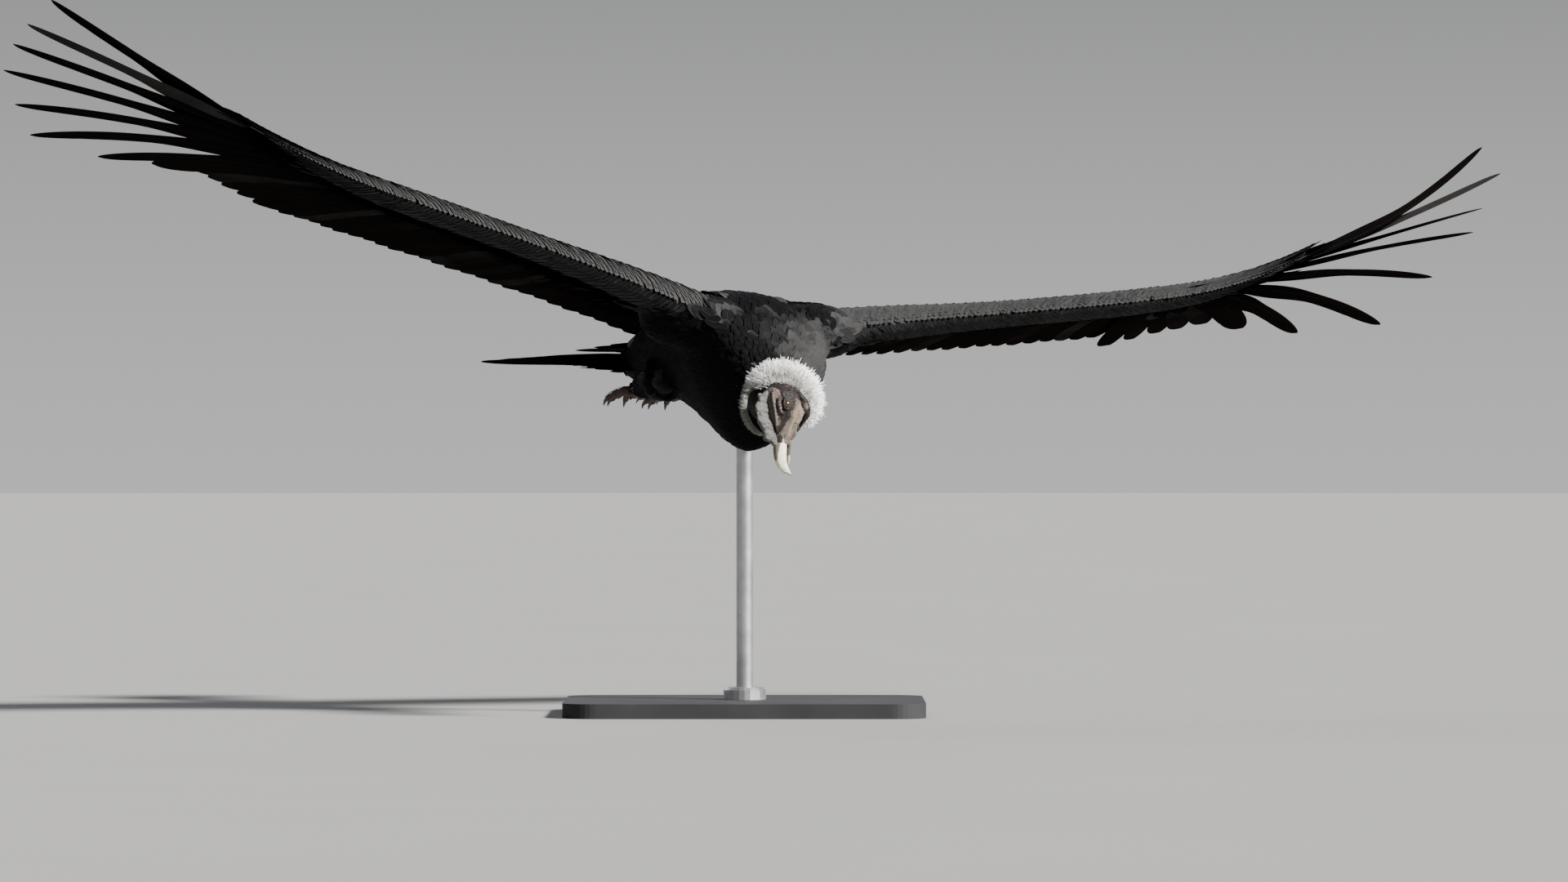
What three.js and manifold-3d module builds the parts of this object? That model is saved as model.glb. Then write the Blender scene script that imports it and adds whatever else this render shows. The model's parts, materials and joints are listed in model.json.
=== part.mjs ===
// Adult male Andean condor, soaring with its head hung down, on a plain display stand.
// Millimetres, +Z up, z = 0 on the underside of the stand's base, the bird flying towards -Y.
import * as THREE from "three";
import { mergeVertices } from "three/addons/utils/BufferGeometryUtils.js";
import Module from "manifold-3d";

const wasm = await Module();
wasm.setup();

// Stand
const BASE_LENGTH = 640;
const BASE_WIDTH = 520;
const BASE_THICKNESS = 26;
const BASE_CORNER = 60;
const ROD_RADIUS = 15;
const COLLAR_RADIUS = 38;
const COLLAR_HEIGHT = 22;

// How the bird hangs in the air, in degrees, and where its shoulders are over the base
const YAW = 29;
const BANK = 4;
const SHOULDERS = new THREE.Vector3(20, -60, 690);

// Gap between touching nodes, and how far flesh is grown to cut what sits on it
const GAP = 0.3;
const GROWN = 0.45;

// Trunk: y along the body, half width, top and bottom, all from the line between the shoulders
const TRUNK = [
  { y: -142, half: 38, top: -66, bottom: -136 },
  { y: -110, half: 80, top: -18, bottom: -184 },
  { y: -60, half: 110, top: 34, bottom: -216 },
  { y: 10, half: 116, top: 64, bottom: -229 },
  { y: 100, half: 108, top: 70, bottom: -196 },
  { y: 190, half: 94, top: 60, bottom: -155 },
  { y: 280, half: 76, top: 38, bottom: -130 },
  { y: 360, half: 56, top: 8, bottom: -117 },
  { y: 430, half: 40, top: -18, bottom: -102 },
  { y: 480, half: 22, top: -34, bottom: -82 },
];
const TRUNK_RINGS = 12;
const TRUNK_SIDES = 16;
const KEEL = 0.5;

// Shoulders: the mass of muscle and scapular feathers at the root of each wing
const SHOULDER_PLACE = [112, 20, 0];
const SHOULDER_SIZE = [104, 108, 56];

// Neck, from inside the breast to inside the head
const NECK_PATH = [
  [-4, -70, -104],
  [-20, -128, -136],
  [-37, -176, -142],
  [-58, -218, -142],
  [-80, -246, -140],
];
const NECK_RADII = [54, 46, 38, 31, 27];
const NECK_FOLDS = 7;

// Ruff: a horseshoe of down round the base of the neck, open at the throat
const RUFF_PLACE = 0.46;
const RUFF_FORWARD = new THREE.Vector3(-0.56, -0.82, 0.08);
const RUFF_RADIUS = 49;
const RUFF_THICK = 11;
const RUFF_OPENING = 84;
const RUFF_LEAN = -77;
const RUFF_ROWS = [
  { locks: 10, length: 28, lean: 62, curl: 50, size: 32 },
  { locks: 12, length: 34, lean: 8, curl: 34, size: 34 },
];

// Head: where it is, which way the bill and the crown point
const HEAD_PLACE = new THREE.Vector3(-86, -262, -150);
const BILL_DIRECTION = new THREE.Vector3(-0.12, -0.24, -0.96);
const CROWN_DIRECTION = new THREE.Vector3(-0.96, -0.25, -0.07);
const HEAD = [
  { y: 33, half: 19, low: -24, high: 24 },
  { y: 18, half: 31, low: -35, high: 33 },
  { y: 0, half: 33, low: -38, high: 33 },
  { y: -18, half: 28, low: -36, high: 28 },
  { y: -36, half: 20, low: -31, high: 20 },
  { y: -54, half: 14, low: -27, high: 13 },
  { y: -68, half: 12, low: -22, high: 8 },
];
const EYE_PLACE = [26.5, -3, 10];
const EYE_RADIUS = 8.5;
const MOUTH_HEIGHT = -17.8;
const MOUTH_GAP = 1.4;
const MOUTH_DEPTH = 3;
const COMB_LOBES = 3.5;
const COMB_TOP = [12, 34, 46, 54, 56, 50, 36];
const COMB_HALF = [4, 7, 7, 6, 6, 5, 4];

// Wings: distances from the shoulder out to the elbow, the wrist and the end of the hand.
// Rise and sweep, in degrees, and the arm's chord and depth are given at these four places.
const ELBOW = 330;
const WRIST = 700;
const HAND_END = 1000;
const ROOT_INSIDE = -60;
const SHOULDER_JOINT = [88, -62, -4];
const RISE = [13, 9, 9.5, 24];
const SWEEP = [1, -6, -4, 17];
const CORE_CHORD = [190, 175, 140, 34];
const CORE_DEPTH = [72, 48, 42, 10];

// How each wing is held: extra rise at the root and the hand, extra sweep of the hand,
// how far the back edge is lowered, how much further it is lowered among the primaries, how far
// the two outermost primaries roll about their shafts, leading edge up, how much more they curve
// up, and how far each primary is raised beside its neighbours
const WINGS = {
  right: {
    side: -1, rootLift: 4.7, lift: 2.3, handBack: -3, incidence: 0.5, twist: 6, roll: 9, curl: 0,
    raised: [-3, -3.5, -3, -1.5, 0, 0, 0, 0, 0, 0],
  },
  left: {
    side: 1, rootLift: -2.8, lift: 4.3, handBack: -18, incidence: 7.5, twist: -12.8, roll: -15, curl: 7.5,
    raised: [3, 2.5, 2, 0, -1, 1, 2, 0.3, -1, -3.5],
  },
};

// Feathers of a wing, the primaries from the innermost out: angle back from straight out,
// rise at the root and at the tip, and length
const SECONDARIES = 20;
const SECONDARY_LENGTH = [316, 356];
const SECONDARY_ANGLE = [73, 97];
const PRIMARY_ANGLE = [74, 69.5, 65.5, 52, 39, 29, 20.5, 17, 6, 4];
const PRIMARY_START = [-1, 2, 4, 5, 8, 10, 12, 15.5, 19, 22.5];
const PRIMARY_END = [-12, -8, -6, -10, -11.5, -4, 4.5, 10.5, 15, 25];
const PRIMARY_LENGTH = [334, 342, 354, 460, 523, 516, 521, 496, 476, 434];
const PRIMARIES = PRIMARY_LENGTH.length;
// How much of the hand's own sweep each primary takes
const HAND_SHARE = [0.2, 0.5, 0.8, 1, 1, 1, 1, 1, 1, 1];

// Tiers of coverts along the arm: how many, where on the arm's chord they are rooted,
// at what share of its depth, how long they are and how far they close on the arm
const ARM_TIERS = [
  { count: 13, chord: 0.66, height: 0.24, length: 166, lead: 26, trail: 42, pitch: -1.5 },
  { count: 10, chord: 0.62, height: -0.15, length: 146, lead: 32, trail: 50, pitch: 1 },
];
const HAND_TIERS = [
  { count: 6, chord: 0.54, height: 0.3, length: 150, pitch: 1 },
  { count: 5, chord: 0.54, height: -0.2, length: 130, pitch: -3 },
];
const ALULA = [
  { at: 716, length: 140, angle: 20 },
  { at: 732, length: 96, angle: 13 },
];

// Tail
const RECTRICES = 12;
const TAIL_ROOT = new THREE.Vector3(0, 388, -46);
const TAIL_SPREAD = 21;
const TAIL_LENGTH = 402;
const TAIL_DROOP = [0.5, -1.5];

// Legs: the radius from the thigh to the ankle, and the toes: how far each spreads from the leg's line, and how long it is
const LEG_RADII = [46, 36, 17, 12];
const TOE_RADII = [9.5, 8.5, 7.5, 5, 1];
const TOES = [
  { spread: -20, length: 74 },
  { spread: 2, length: 92 },
  { spread: 22, length: 68 },
];

const materials = {
  plumage: [0x17171a, 0.75, 0],
  down: [0xf2f0ea, 0.95, 0],
  skin: [0x8d7668, 0.6, 0],
  comb: [0x8b8a84, 0.6, 0],
  ivory: [0xe9e4d4, 0.35, 0],
  eye: [0x4a2d17, 0.1, 0],
  foot: [0x5d5a56, 0.7, 0],
  base: [0x2b2b2d, 0.45, 0],
  steel: [0x9a9da0, 0.35, 0.9],
};

const radians = THREE.MathUtils.degToRad;
const vector = (x, y, z) => new THREE.Vector3(x, y, z);
const UP = vector(0, 0, 1);

function material(key) {
  const [color, roughness, metalness] = materials[key];
  return new THREE.MeshStandardMaterial({ color, roughness, metalness });
}

// A smooth curve through values at even steps, read at t from 0 to 1
function smooth(values, t) {
  const last = values.length - 1;
  const place = THREE.MathUtils.clamp(t, 0, 1) * last;
  const i = Math.min(Math.floor(place), last - 1);
  const f = place - i;
  const p0 = values[Math.max(i - 1, 0)];
  const p1 = values[i];
  const p2 = values[i + 1];
  const p3 = values[Math.min(i + 2, last)];
  const slope1 = (p2 - p0) / 2;
  const slope2 = (p3 - p1) / 2;
  const a = 2 * p1 - 2 * p2 + slope1 + slope2;
  const b = -3 * p1 + 3 * p2 - 2 * slope1 - slope2;
  return ((a * f + b) * f + slope1) * f + p1;
}

// Solids

function geometryFrom(points, faces) {
  const geometry = new THREE.BufferGeometry();
  geometry.setAttribute("position", new THREE.Float32BufferAttribute(points.flatMap((p) => [p.x, p.y, p.z]), 3));
  geometry.setIndex(faces.flat());
  return geometry;
}

// Closed rings joined in order, with a fan to a middle point at each end
function loft(rings, start, end) {
  const sides = rings[0].length;
  const points = rings.flat();
  const faces = [];
  for (let r = 0; r + 1 < rings.length; r++) {
    for (let k = 0; k < sides; k++) {
      const a = r * sides + k;
      const b = r * sides + ((k + 1) % sides);
      faces.push([a, b, b + sides], [a, b + sides, a + sides]);
    }
  }
  const first = points.push(start) - 1;
  const last = points.push(end) - 1;
  const top = (rings.length - 1) * sides;
  for (let k = 0; k < sides; k++) {
    const next = (k + 1) % sides;
    faces.push([first, next, k], [last, top + k, top + next]);
  }
  return geometryFrom(points, faces);
}

function volumeOf(mesh) {
  const p = mesh.vertProperties;
  const corner = (i) => vector(p[3 * i], p[3 * i + 1], p[3 * i + 2]);
  let volume = 0;
  for (let t = 0; t < mesh.triVerts.length; t += 3) {
    const [a, b, c] = [0, 1, 2].map((k) => corner(mesh.triVerts[t + k]));
    volume += a.dot(b.cross(c)) / 6;
  }
  return volume;
}

function solid(geometry) {
  const bare = geometry.clone();
  bare.deleteAttribute("normal");
  bare.deleteAttribute("uv");
  const merged = mergeVertices(bare, 1e-4);
  const mesh = new wasm.Mesh({
    numProp: 3,
    vertProperties: new Float32Array(merged.attributes.position.array),
    triVerts: new Uint32Array(merged.index.array),
  });
  if (volumeOf(mesh) < 0) {
    mesh.triVerts = mesh.triVerts.map((_, i, all) => all[i % 3 === 1 ? i + 1 : i % 3 === 2 ? i - 1 : i]);
  }
  return new wasm.Manifold(mesh);
}

function join(solids) {
  return solids.reduce((whole, piece) => whole.add(piece));
}

function cut(whole, tools) {
  return tools.reduce((left, tool) => left.subtract(tool), whole);
}

function largest(whole) {
  const pieces = whole.decompose();
  const sized = pieces.map((piece) => [volumeOf(piece.getMesh()), piece]);
  sized.sort((a, b) => b[0] - a[0]);
  return sized[0][1];
}

function moved(whole, matrix) {
  return solid(geometryOf(whole).applyMatrix4(matrix));
}

function geometryOf(whole) {
  const mesh = whole.getMesh();
  const geometry = new THREE.BufferGeometry();
  geometry.setAttribute("position", new THREE.Float32BufferAttribute(mesh.vertProperties, 3));
  geometry.setIndex(Array.from(mesh.triVerts));
  return geometry;
}

// A node: the largest closed surface of a solid, its mesh placed at a pivot of its own
function node(name, key, whole, pivot = vector(0, 0, 0)) {
  const geometry = geometryOf(largest(whole)).translate(-pivot.x, -pivot.y, -pivot.z);
  geometry.computeVertexNormals();
  const mesh = new THREE.Mesh(geometry, material(key));
  mesh.name = name;
  mesh.position.copy(pivot);
  return mesh;
}

// Everything on the far side of a plane, as a block to cut with
function beyond(point, direction) {
  const size = 4000;
  const block = new THREE.BoxGeometry(size, size, size).translate(0, 0, size / 2);
  const turn = new THREE.Quaternion().setFromUnitVectors(UP, direction.clone().normalize());
  block.applyQuaternion(turn).translate(point.x, point.y, point.z);
  return solid(block);
}

// An egg-like ring in the plane across y, its lower half narrowed by the keel's share
function eggRing(y, half, low, high, sides, grow = 0, keel = 0) {
  const middle = (low + high) / 2;
  const tall = (high - low) / 2 + grow;
  return Array.from({ length: sides }, (_, k) => {
    const turn = (k / sides) * 2 * Math.PI;
    const wide = (half + grow) * (1 + keel * Math.sin(turn));
    return vector(wide * Math.cos(turn), y, middle + tall * Math.sin(turn));
  });
}

// A round tube of changing radius along a curve
function tube(curve, radius, rings, sides) {
  const frames = curve.computeFrenetFrames(rings, false);
  const loops = [];
  for (let r = 0; r <= rings; r++) {
    const middle = curve.getPoint(r / rings);
    const size = radius(r / rings);
    loops.push(
      Array.from({ length: sides }, (_, k) => {
        const turn = (k / sides) * 2 * Math.PI;
        return middle
          .clone()
          .addScaledVector(frames.normals[r], size * Math.cos(turn))
          .addScaledVector(frames.binormals[r], size * Math.sin(turn));
      }),
    );
  }
  return loft(loops, curve.getPoint(0), curve.getPoint(1));
}

// One feather: a thin closed strip on a curved shaft, both faces split into the same triangles.
// The shaft turns evenly from the direction at its root to the one at its tip. The front edge
// of each feather is raised, so that it lies over the feather outside it.
function feather({ root, from, to, normal, side, length, lead, trail, tilt, thick, edge, steps, narrow = 1 }) {
  const rows = [];
  const place = root.clone();
  const share = (i) => 1 - (1 - i / steps) ** (steps > 3 ? 1.6 : 1.9);
  for (let i = 0; i <= steps; i++) {
    const t = share(i);
    const along = from.clone().lerp(to, t).normalize();
    const up = normal.clone().addScaledVector(along, -normal.dot(along)).normalize();
    const across = along.clone().cross(up).multiplyScalar(side);
    across.applyAxisAngle(along, -side * tilt);
    up.crossVectors(across, along).multiplyScalar(side).normalize();
    const taper = THREE.MathUtils.lerp(1, narrow, THREE.MathUtils.smoothstep(t, 0.35, 0.6));
    const spread = (0.5 + 0.5 * Math.min(1, t / 0.3)) * taper * Math.sqrt(Math.max(0.08, 1 - t ** 9));
    const rib = THREE.MathUtils.lerp(thick, edge, t) / 2;
    const rim = edge / 2;
    const at = (sideways, height) =>
      place.clone().addScaledVector(across, sideways).addScaledVector(up, height);
    rows.push([
      at(lead * spread, rim),
      at(0, rib),
      at(-trail * spread, rim),
      at(-trail * spread, -rim),
      at(0, -rib),
      at(lead * spread, -rim),
    ]);
    if (i < steps) {
      const ahead = from.clone().lerp(to, (t + share(i + 1)) / 2).normalize();
      place.addScaledVector(ahead, length * (share(i + 1) - t));
    }
  }
  return stripFrom(rows);
}

// Rows of six points, top edge to top edge and back underneath, closed at both ends
function stripFrom(rows) {
  const points = rows.flat();
  const faces = [];
  const quad = (a, b, c, d) => faces.push([a, b, c], [a, c, d]);
  for (let r = 0; r + 1 < rows.length; r++) {
    const a = 6 * r;
    const b = a + 6;
    quad(a, a + 1, b + 1, b);
    quad(a + 1, a + 2, b + 2, b + 1);
    quad(a + 2, a + 3, b + 3, b + 2);
    quad(b + 4, b + 3, a + 3, a + 4);
    quad(b + 5, b + 4, a + 4, a + 5);
    quad(a + 5, a, b, b + 5);
  }
  const end = 6 * (rows.length - 1);
  faces.push([0, 5, 4], [0, 4, 1], [1, 4, 3], [1, 3, 2]);
  faces.push([end, end + 4, end + 5], [end, end + 1, end + 4]);
  faces.push([end + 1, end + 3, end + 4], [end + 1, end + 2, end + 3]);
  return solid(geometryFrom(points, faces));
}

// A smooth round rope through points, its radius read from a list of values
function rope(points, radii, rings, sides) {
  const curve = new THREE.CatmullRomCurve3(points.map((p) => vector(...p)));
  return solid(tube(curve, (t) => smooth(radii, t), rings, sides));
}

// Trunk

function trunkAt(t, grow, sides) {
  const read = (key) => smooth(TRUNK.map((s) => s[key]), t);
  return eggRing(read("y"), read("half"), read("bottom"), read("top"), sides, grow, KEEL);
}

function makeTrunk(grow = 0) {
  const rings = [];
  for (let r = 0; r <= TRUNK_RINGS; r++) {
    rings.push(trunkAt(r / TRUNK_RINGS, grow, TRUNK_SIDES));
  }
  const first = TRUNK[0];
  const last = TRUNK[TRUNK.length - 1];
  const front = vector(0, first.y - 14 - grow, (first.top + first.bottom) / 2);
  const back = vector(0, last.y + 16 + grow, (last.top + last.bottom) / 2);
  const [x, y, z] = SHOULDER_PLACE;
  const shoulders = [-1, 1].map((side) => ball([side * x, y, z], SHOULDER_SIZE.map((size) => size + grow), 0, 12));
  return join([solid(loft(rings, front, back)), ...shoulders]);
}

// Neck and ruff

const neckCurve = new THREE.CatmullRomCurve3(NECK_PATH.map((p) => vector(...p)));

function makeNeck(grow = 0) {
  const folds = (t) => 1.2 * Math.sin(t * NECK_FOLDS * 2 * Math.PI);
  const radius = (t) => smooth(NECK_RADII, t) + (grow ? 1.2 : folds(t)) + grow;
  return solid(tube(neckCurve, radius, 14, 12));
}

// The ruff's own frame: forward along the neck, up and to the image's right of that
function ruffFrame() {
  const forward = RUFF_FORWARD.clone().normalize();
  const right = forward.clone().cross(UP).normalize().negate();
  const up = right.clone().cross(forward).normalize().negate();
  return { middle: neckCurve.getPoint(RUFF_PLACE), forward, right, up };
}

// Locks of down on a low core, in rows that flare out and curl back over one another
function makeRuff() {
  const { middle, forward, right, up } = ruffFrame();
  const open = radians(RUFF_OPENING);
  const start = radians(RUFF_LEAN) + open / 2;
  const sweep = 2 * Math.PI - open;
  const outward = (turn) => right.clone().multiplyScalar(Math.cos(turn)).addScaledVector(up, Math.sin(turn));
  const onRing = (share, size) => {
    const turn = start + share * sweep;
    return middle.clone().addScaledVector(outward(turn), size);
  };
  const thin = (share) => Math.sqrt(Math.max(0.12, 1 - (2 * share - 1) ** 4));
  const arc = Array.from({ length: 9 }, (_, k) => onRing(k / 8, RUFF_RADIUS).toArray());
  const pieces = [rope(arc, [4, 8, 10, 11, 12, 11, 10, 8, 4].map((r) => (r * RUFF_THICK) / 12), 12, 6)];
  RUFF_ROWS.forEach(({ locks, length, lean, curl, size }, row) => {
    for (let i = 0; i < locks; i++) {
      const share = (i + 0.5 + 0.25 * Math.sin(i * 2.3 + row)) / locks;
      const turn = start + share * sweep;
      const out = outward(turn);
      const angle = radians(lean + 6 * Math.sin(i * 1.7 + row));
      const aim = (bend) =>
        out.clone().multiplyScalar(Math.cos(angle - bend)).addScaledVector(forward, Math.sin(angle - bend));
      const from = aim(0);
      const to = aim(radians(curl));
      const normal = forward.clone().multiplyScalar(Math.cos(angle)).addScaledVector(out, -Math.sin(angle));
      pieces.push(
        feather({
          root: onRing(share, RUFF_RADIUS),
          from,
          to,
          normal,
          side: 1,
          length: length * thin(share) * (1 + 0.12 * Math.sin(i * 3.1)),
          lead: size * 0.45,
          trail: size * 0.55,
          tilt: radians(14),
          thick: 7,
          edge: 1.6,
          steps: 2,
        }),
      );
    }
  });
  return join(pieces);
}

// Head, in its own frame: +X its left, -Y out along the bill, +Z the crown

function headMatrix() {
  const back = BILL_DIRECTION.clone().normalize().negate();
  const left = back.clone().cross(CROWN_DIRECTION).normalize();
  const crown = left.clone().cross(back);
  return new THREE.Matrix4().makeBasis(left, back, crown).setPosition(HEAD_PLACE);
}

function ball(place, scale, turn = 0, detail = 12) {
  const shape = new THREE.SphereGeometry(1, detail, Math.round(detail * 0.75));
  shape.scale(...scale);
  shape.rotateX(turn);
  shape.translate(...place);
  return solid(shape);
}

function makeHeadShell(grow = 0) {
  const rings = [];
  const count = 10;
  for (let r = 0; r <= count; r++) {
    const read = (key) => smooth(HEAD.map((s) => s[key]), r / count);
    rings.push(eggRing(read("y"), read("half"), read("low"), read("high"), 16, grow));
  }
  const back = vector(0, HEAD[0].y + 7 + grow, 2);
  const front = vector(0, HEAD[HEAD.length - 1].y - 2 - grow, -7);
  return solid(loft(rings, back, front));
}

function makeEye(side, grow = 0) {
  const [x, y, z] = EYE_PLACE;
  const size = EYE_RADIUS + grow;
  return ball([side * x, y, z], [size, size, size], 0, 8);
}

// Upper and lower lid round each eye, folds of skin along each cheek and jowl, and the throat's pouch
function makeFlesh(grow = 0) {
  const [x, y, z] = EYE_PLACE;
  const fold = (points, radii, rings, sides) => rope(points, radii.map((radius) => radius + grow), rings, sides);
  const lid = (side, turns, radii) => {
    const around = (turn) => [
      side * (x + 3.4 - 1.2 * Math.abs(Math.cos(turn))),
      y + 10.4 * Math.cos(turn),
      z + 7.6 * Math.sin(turn),
    ];
    return fold(turns.map((turn) => around(radians(turn))), radii, 5, 5);
  };
  const folds = [-1, 1].flatMap((side) => [
    lid(side, [-8, 40, 90, 140, 188], [1.6, 2.6, 3, 2.6, 1.6]),
    lid(side, [172, 220, 270, 320, 368], [1.4, 2.2, 2.4, 2.2, 1.4]),
    fold([[side * 20, -26, -22], [side * 26, -6, -22], [side * 26, 12, -16]], [3, 5.4, 4], 3, 5),
    fold([[side * 22, 26, -24], [side * 27, 10, -33], [side * 20, -7, -43], [side * 8, -24, -43]], [4, 8, 8.5, 4], 4, 6),
  ]);
  const throat = fold([[0, -46, -26], [0, -26, -41], [0, -2, -50], [0, 20, -42]], [4, 8, 10, 5], 6, 7);
  return join([makeHeadShell(grow), ...folds, throat]);
}

function makeHead() {
  const slit = solid(new THREE.BoxGeometry(90, 46, MOUTH_GAP).translate(0, -50, MOUTH_HEIGHT));
  const mouth = slit.subtract(makeHeadShell(-MOUTH_DEPTH));
  const nostrils = [-1, 1].map((side) => ball([side * 13, -59, -2], [4.5, 6.5, 2.3], 0.2, 8));
  return cut(makeFlesh(), [makeEye(-1, GAP), makeEye(1, GAP), mouth, ...nostrils]);
}

// The comb: a lobed crest from the bill's base to the middle of the crown
function makeComb() {
  const rings = [];
  const count = 14;
  for (let r = 0; r <= count; r++) {
    const t = r / count;
    const y = THREE.MathUtils.lerp(-73, 20, t);
    const fold = Math.sin(t * COMB_LOBES * 2 * Math.PI);
    const top = smooth(COMB_TOP, t) + 1.6 * fold;
    const half = smooth(COMB_HALF, t) * (1 + 0.16 * fold);
    rings.push(eggRing(y, half, smooth([-2, 0, 4, 10, 16, 20, 24], t), top, 8, 0, 0.12));
  }
  const knob = ball([0, -58, 26], [8, 12, 9], 0, 8);
  return join([solid(loft(rings, vector(0, -77, 6), vector(0, 23, 30))), knob]);
}

function makeBill(profile, start, end) {
  const rings = profile.map(([y, half, low, high]) => eggRing(y, half, low, high, 12));
  return solid(loft(rings, start, end));
}

function makeUpperBill() {
  const profile = [
    [-60, 11.5, -14, 7],
    [-74, 11.5, -16, 8],
    [-88, 10.5, -17, 7],
    [-100, 9, -20, 3],
    [-109, 7, -27, -4],
    [-115, 4.2, -33, -14],
  ];
  return makeBill(profile, vector(0, -58, -4), vector(0, -117, -33));
}

function makeLowerBill() {
  const profile = [
    [-56, 9.5, -27, -17.2],
    [-72, 9, -27, -18.4],
    [-86, 7.5, -26, -19.4],
    [-97, 5, -25.5, -21.8],
  ];
  return makeBill(profile, vector(0, -54, -22), vector(0, -101, -24));
}

// Wings

// Shoulder, elbow, wrist and hand's end as 0, 1/3, 2/3 and 1
function stretch(d) {
  const marks = [0, ELBOW, WRIST, HAND_END];
  const i = d < ELBOW ? 0 : d < WRIST ? 1 : 2;
  return (i + (d - marks[i]) / (marks[i + 1] - marks[i])) / 3;
}

// The frame at a distance out along a wing: the point on the leading edge, out, back and up
function wingFrames(wing) {
  const step = 10;
  const frames = [];
  const place = vector(wing.side * SHOULDER_JOINT[0], SHOULDER_JOINT[1], SHOULDER_JOINT[2]);
  const direction = (d) => {
    const t = stretch(d);
    const lift = wing.rootLift + (wing.lift - wing.rootLift) * Math.max(t, 0);
    const rise = radians(smooth(RISE, t) + lift);
    const back = radians(smooth(SWEEP, t) + wing.handBack * Math.max(0, 3 * t - 2));
    return vector(wing.side * Math.cos(rise) * Math.cos(back), Math.cos(rise) * Math.sin(back), Math.sin(rise));
  };
  place.addScaledVector(direction(0), ROOT_INSIDE);
  for (let d = ROOT_INSIDE; d <= HAND_END + step; d += step) {
    const out = direction(d);
    const back = vector(0, 1, 0).addScaledVector(out, -out.y).normalize();
    back.applyAxisAngle(out, wing.side * -radians(wing.incidence));
    const up = out.clone().cross(back).multiplyScalar(wing.side);
    frames.push({ place: place.clone(), out, back, up });
    place.addScaledVector(out, step);
  }
  return (d) => {
    const f = THREE.MathUtils.clamp((d - ROOT_INSIDE) / step, 0, frames.length - 1.001);
    const i = Math.floor(f);
    const mix = (key) => frames[i][key].clone().lerp(frames[i + 1][key], f - i);
    return { place: mix("place"), out: mix("out"), back: mix("back"), up: mix("up") };
  };
}

// Height over the chord line of an arm's section, from 0 at the front to 1 at the back
function sectionHeight(x) {
  return 1.48 * Math.sqrt(x) - 0.63 * x - 1.76 * x ** 2 + 1.42 * x ** 3 - 0.51 * x ** 4;
}

function makeArmCore(frameAt) {
  const sides = 10;
  const rings = [];
  const count = 14;
  for (let r = 0; r <= count; r++) {
    const d = THREE.MathUtils.lerp(ROOT_INSIDE, HAND_END, r / count);
    const t = stretch(d);
    const { place, back, up } = frameAt(d);
    const chord = smooth(CORE_CHORD, t);
    const depth = smooth(CORE_DEPTH, t);
    rings.push(
      Array.from({ length: sides }, (_, k) => {
        const turn = (k / sides) * 2 * Math.PI;
        const x = (1 + Math.cos(turn)) / 2;
        const height = depth * (Math.sign(Math.sin(turn)) * sectionHeight(x) + 0.5 * x * (1 - x));
        return place.clone().addScaledVector(back, chord * x).addScaledVector(up, height);
      }),
    );
  }
  const end = (d, t) => frameAt(d).place.addScaledVector(frameAt(d).back, smooth(CORE_CHORD, t) / 2);
  return solid(loft(rings, end(ROOT_INSIDE, 0), end(HAND_END + 6, 1)));
}

// A point in the arm: at a share of its chord from the front, and of its depth over the chord
function rootIn(frameAt, d, chord, height) {
  const { place, back, up } = frameAt(d);
  const t = stretch(d);
  place.addScaledVector(back, chord * smooth(CORE_CHORD, t));
  return place.addScaledVector(up, height * smooth(CORE_DEPTH, t));
}

// Direction of a feather from its angle back from straight out, and its rise, in degrees
function heading(side, angle, rise) {
  const a = radians(angle);
  const e = radians(rise);
  return vector(side * Math.cos(a) * Math.cos(e), Math.sin(a) * Math.cos(e), Math.sin(e));
}

function makeSecondary(wing, frameAt, i) {
  const t = i / (SECONDARIES - 1);
  const d = THREE.MathUtils.lerp(WRIST - 12, 24, t);
  const angle = THREE.MathUtils.lerp(...SECONDARY_ANGLE, t);
  return feather({
    root: rootIn(frameAt, d, 0.5, 0.08),
    from: heading(wing.side, angle, 1 - wing.incidence),
    to: heading(wing.side, angle + 2, -5 - wing.incidence),
    normal: frameAt(d).up,
    side: wing.side,
    length: THREE.MathUtils.lerp(...SECONDARY_LENGTH, t) + 5 * Math.sin(i * 2.1),
    lead: 19,
    trail: 33,
    tilt: radians(7),
    thick: 4.4,
    edge: 0.9,
    steps: 3,
  });
}

// The extra rise of feathers in the hand, by their angle
function handRise(wing, angle) {
  return wing.lift + wing.twist * Math.sin(radians(angle));
}

function primaryPlace(i) {
  return THREE.MathUtils.lerp(WRIST + 14, HAND_END - 14, (i / (PRIMARIES - 1)) ** 0.9);
}

// The angle of a primary, or of a place between two: the hand's sweep reaches it by its share
function primaryAngle(wing, i) {
  const read = (values) => smooth(values, i / (PRIMARIES - 1));
  return read(PRIMARY_ANGLE) + wing.handBack * read(HAND_SHARE);
}

function makePrimary(wing, frameAt, i) {
  const d = primaryPlace(i);
  const angle = primaryAngle(wing, i);
  const fingered = i >= 3;
  const extra = handRise(wing, angle) + wing.raised[i];
  const outer = THREE.MathUtils.smoothstep(i, 6, 7.5);
  const curl = wing.curl * Math.max(0, (i - 6) / 3) ** 2;
  return feather({
    root: rootIn(frameAt, d, 0.5, 0),
    from: heading(wing.side, angle, PRIMARY_START[i] + extra - curl),
    to: heading(wing.side, angle + 4, PRIMARY_END[i] + extra + 2.5 * curl),
    normal: frameAt(d).up,
    side: wing.side,
    length: PRIMARY_LENGTH[i],
    lead: fingered ? 16 : 20,
    trail: fingered ? 38 : 36,
    tilt: radians(THREE.MathUtils.lerp(9, wing.roll, outer)),
    thick: 6,
    edge: 0.9,
    steps: fingered ? 5 : 4,
    narrow: fingered ? 0.62 : 0.9,
  });
}

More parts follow.
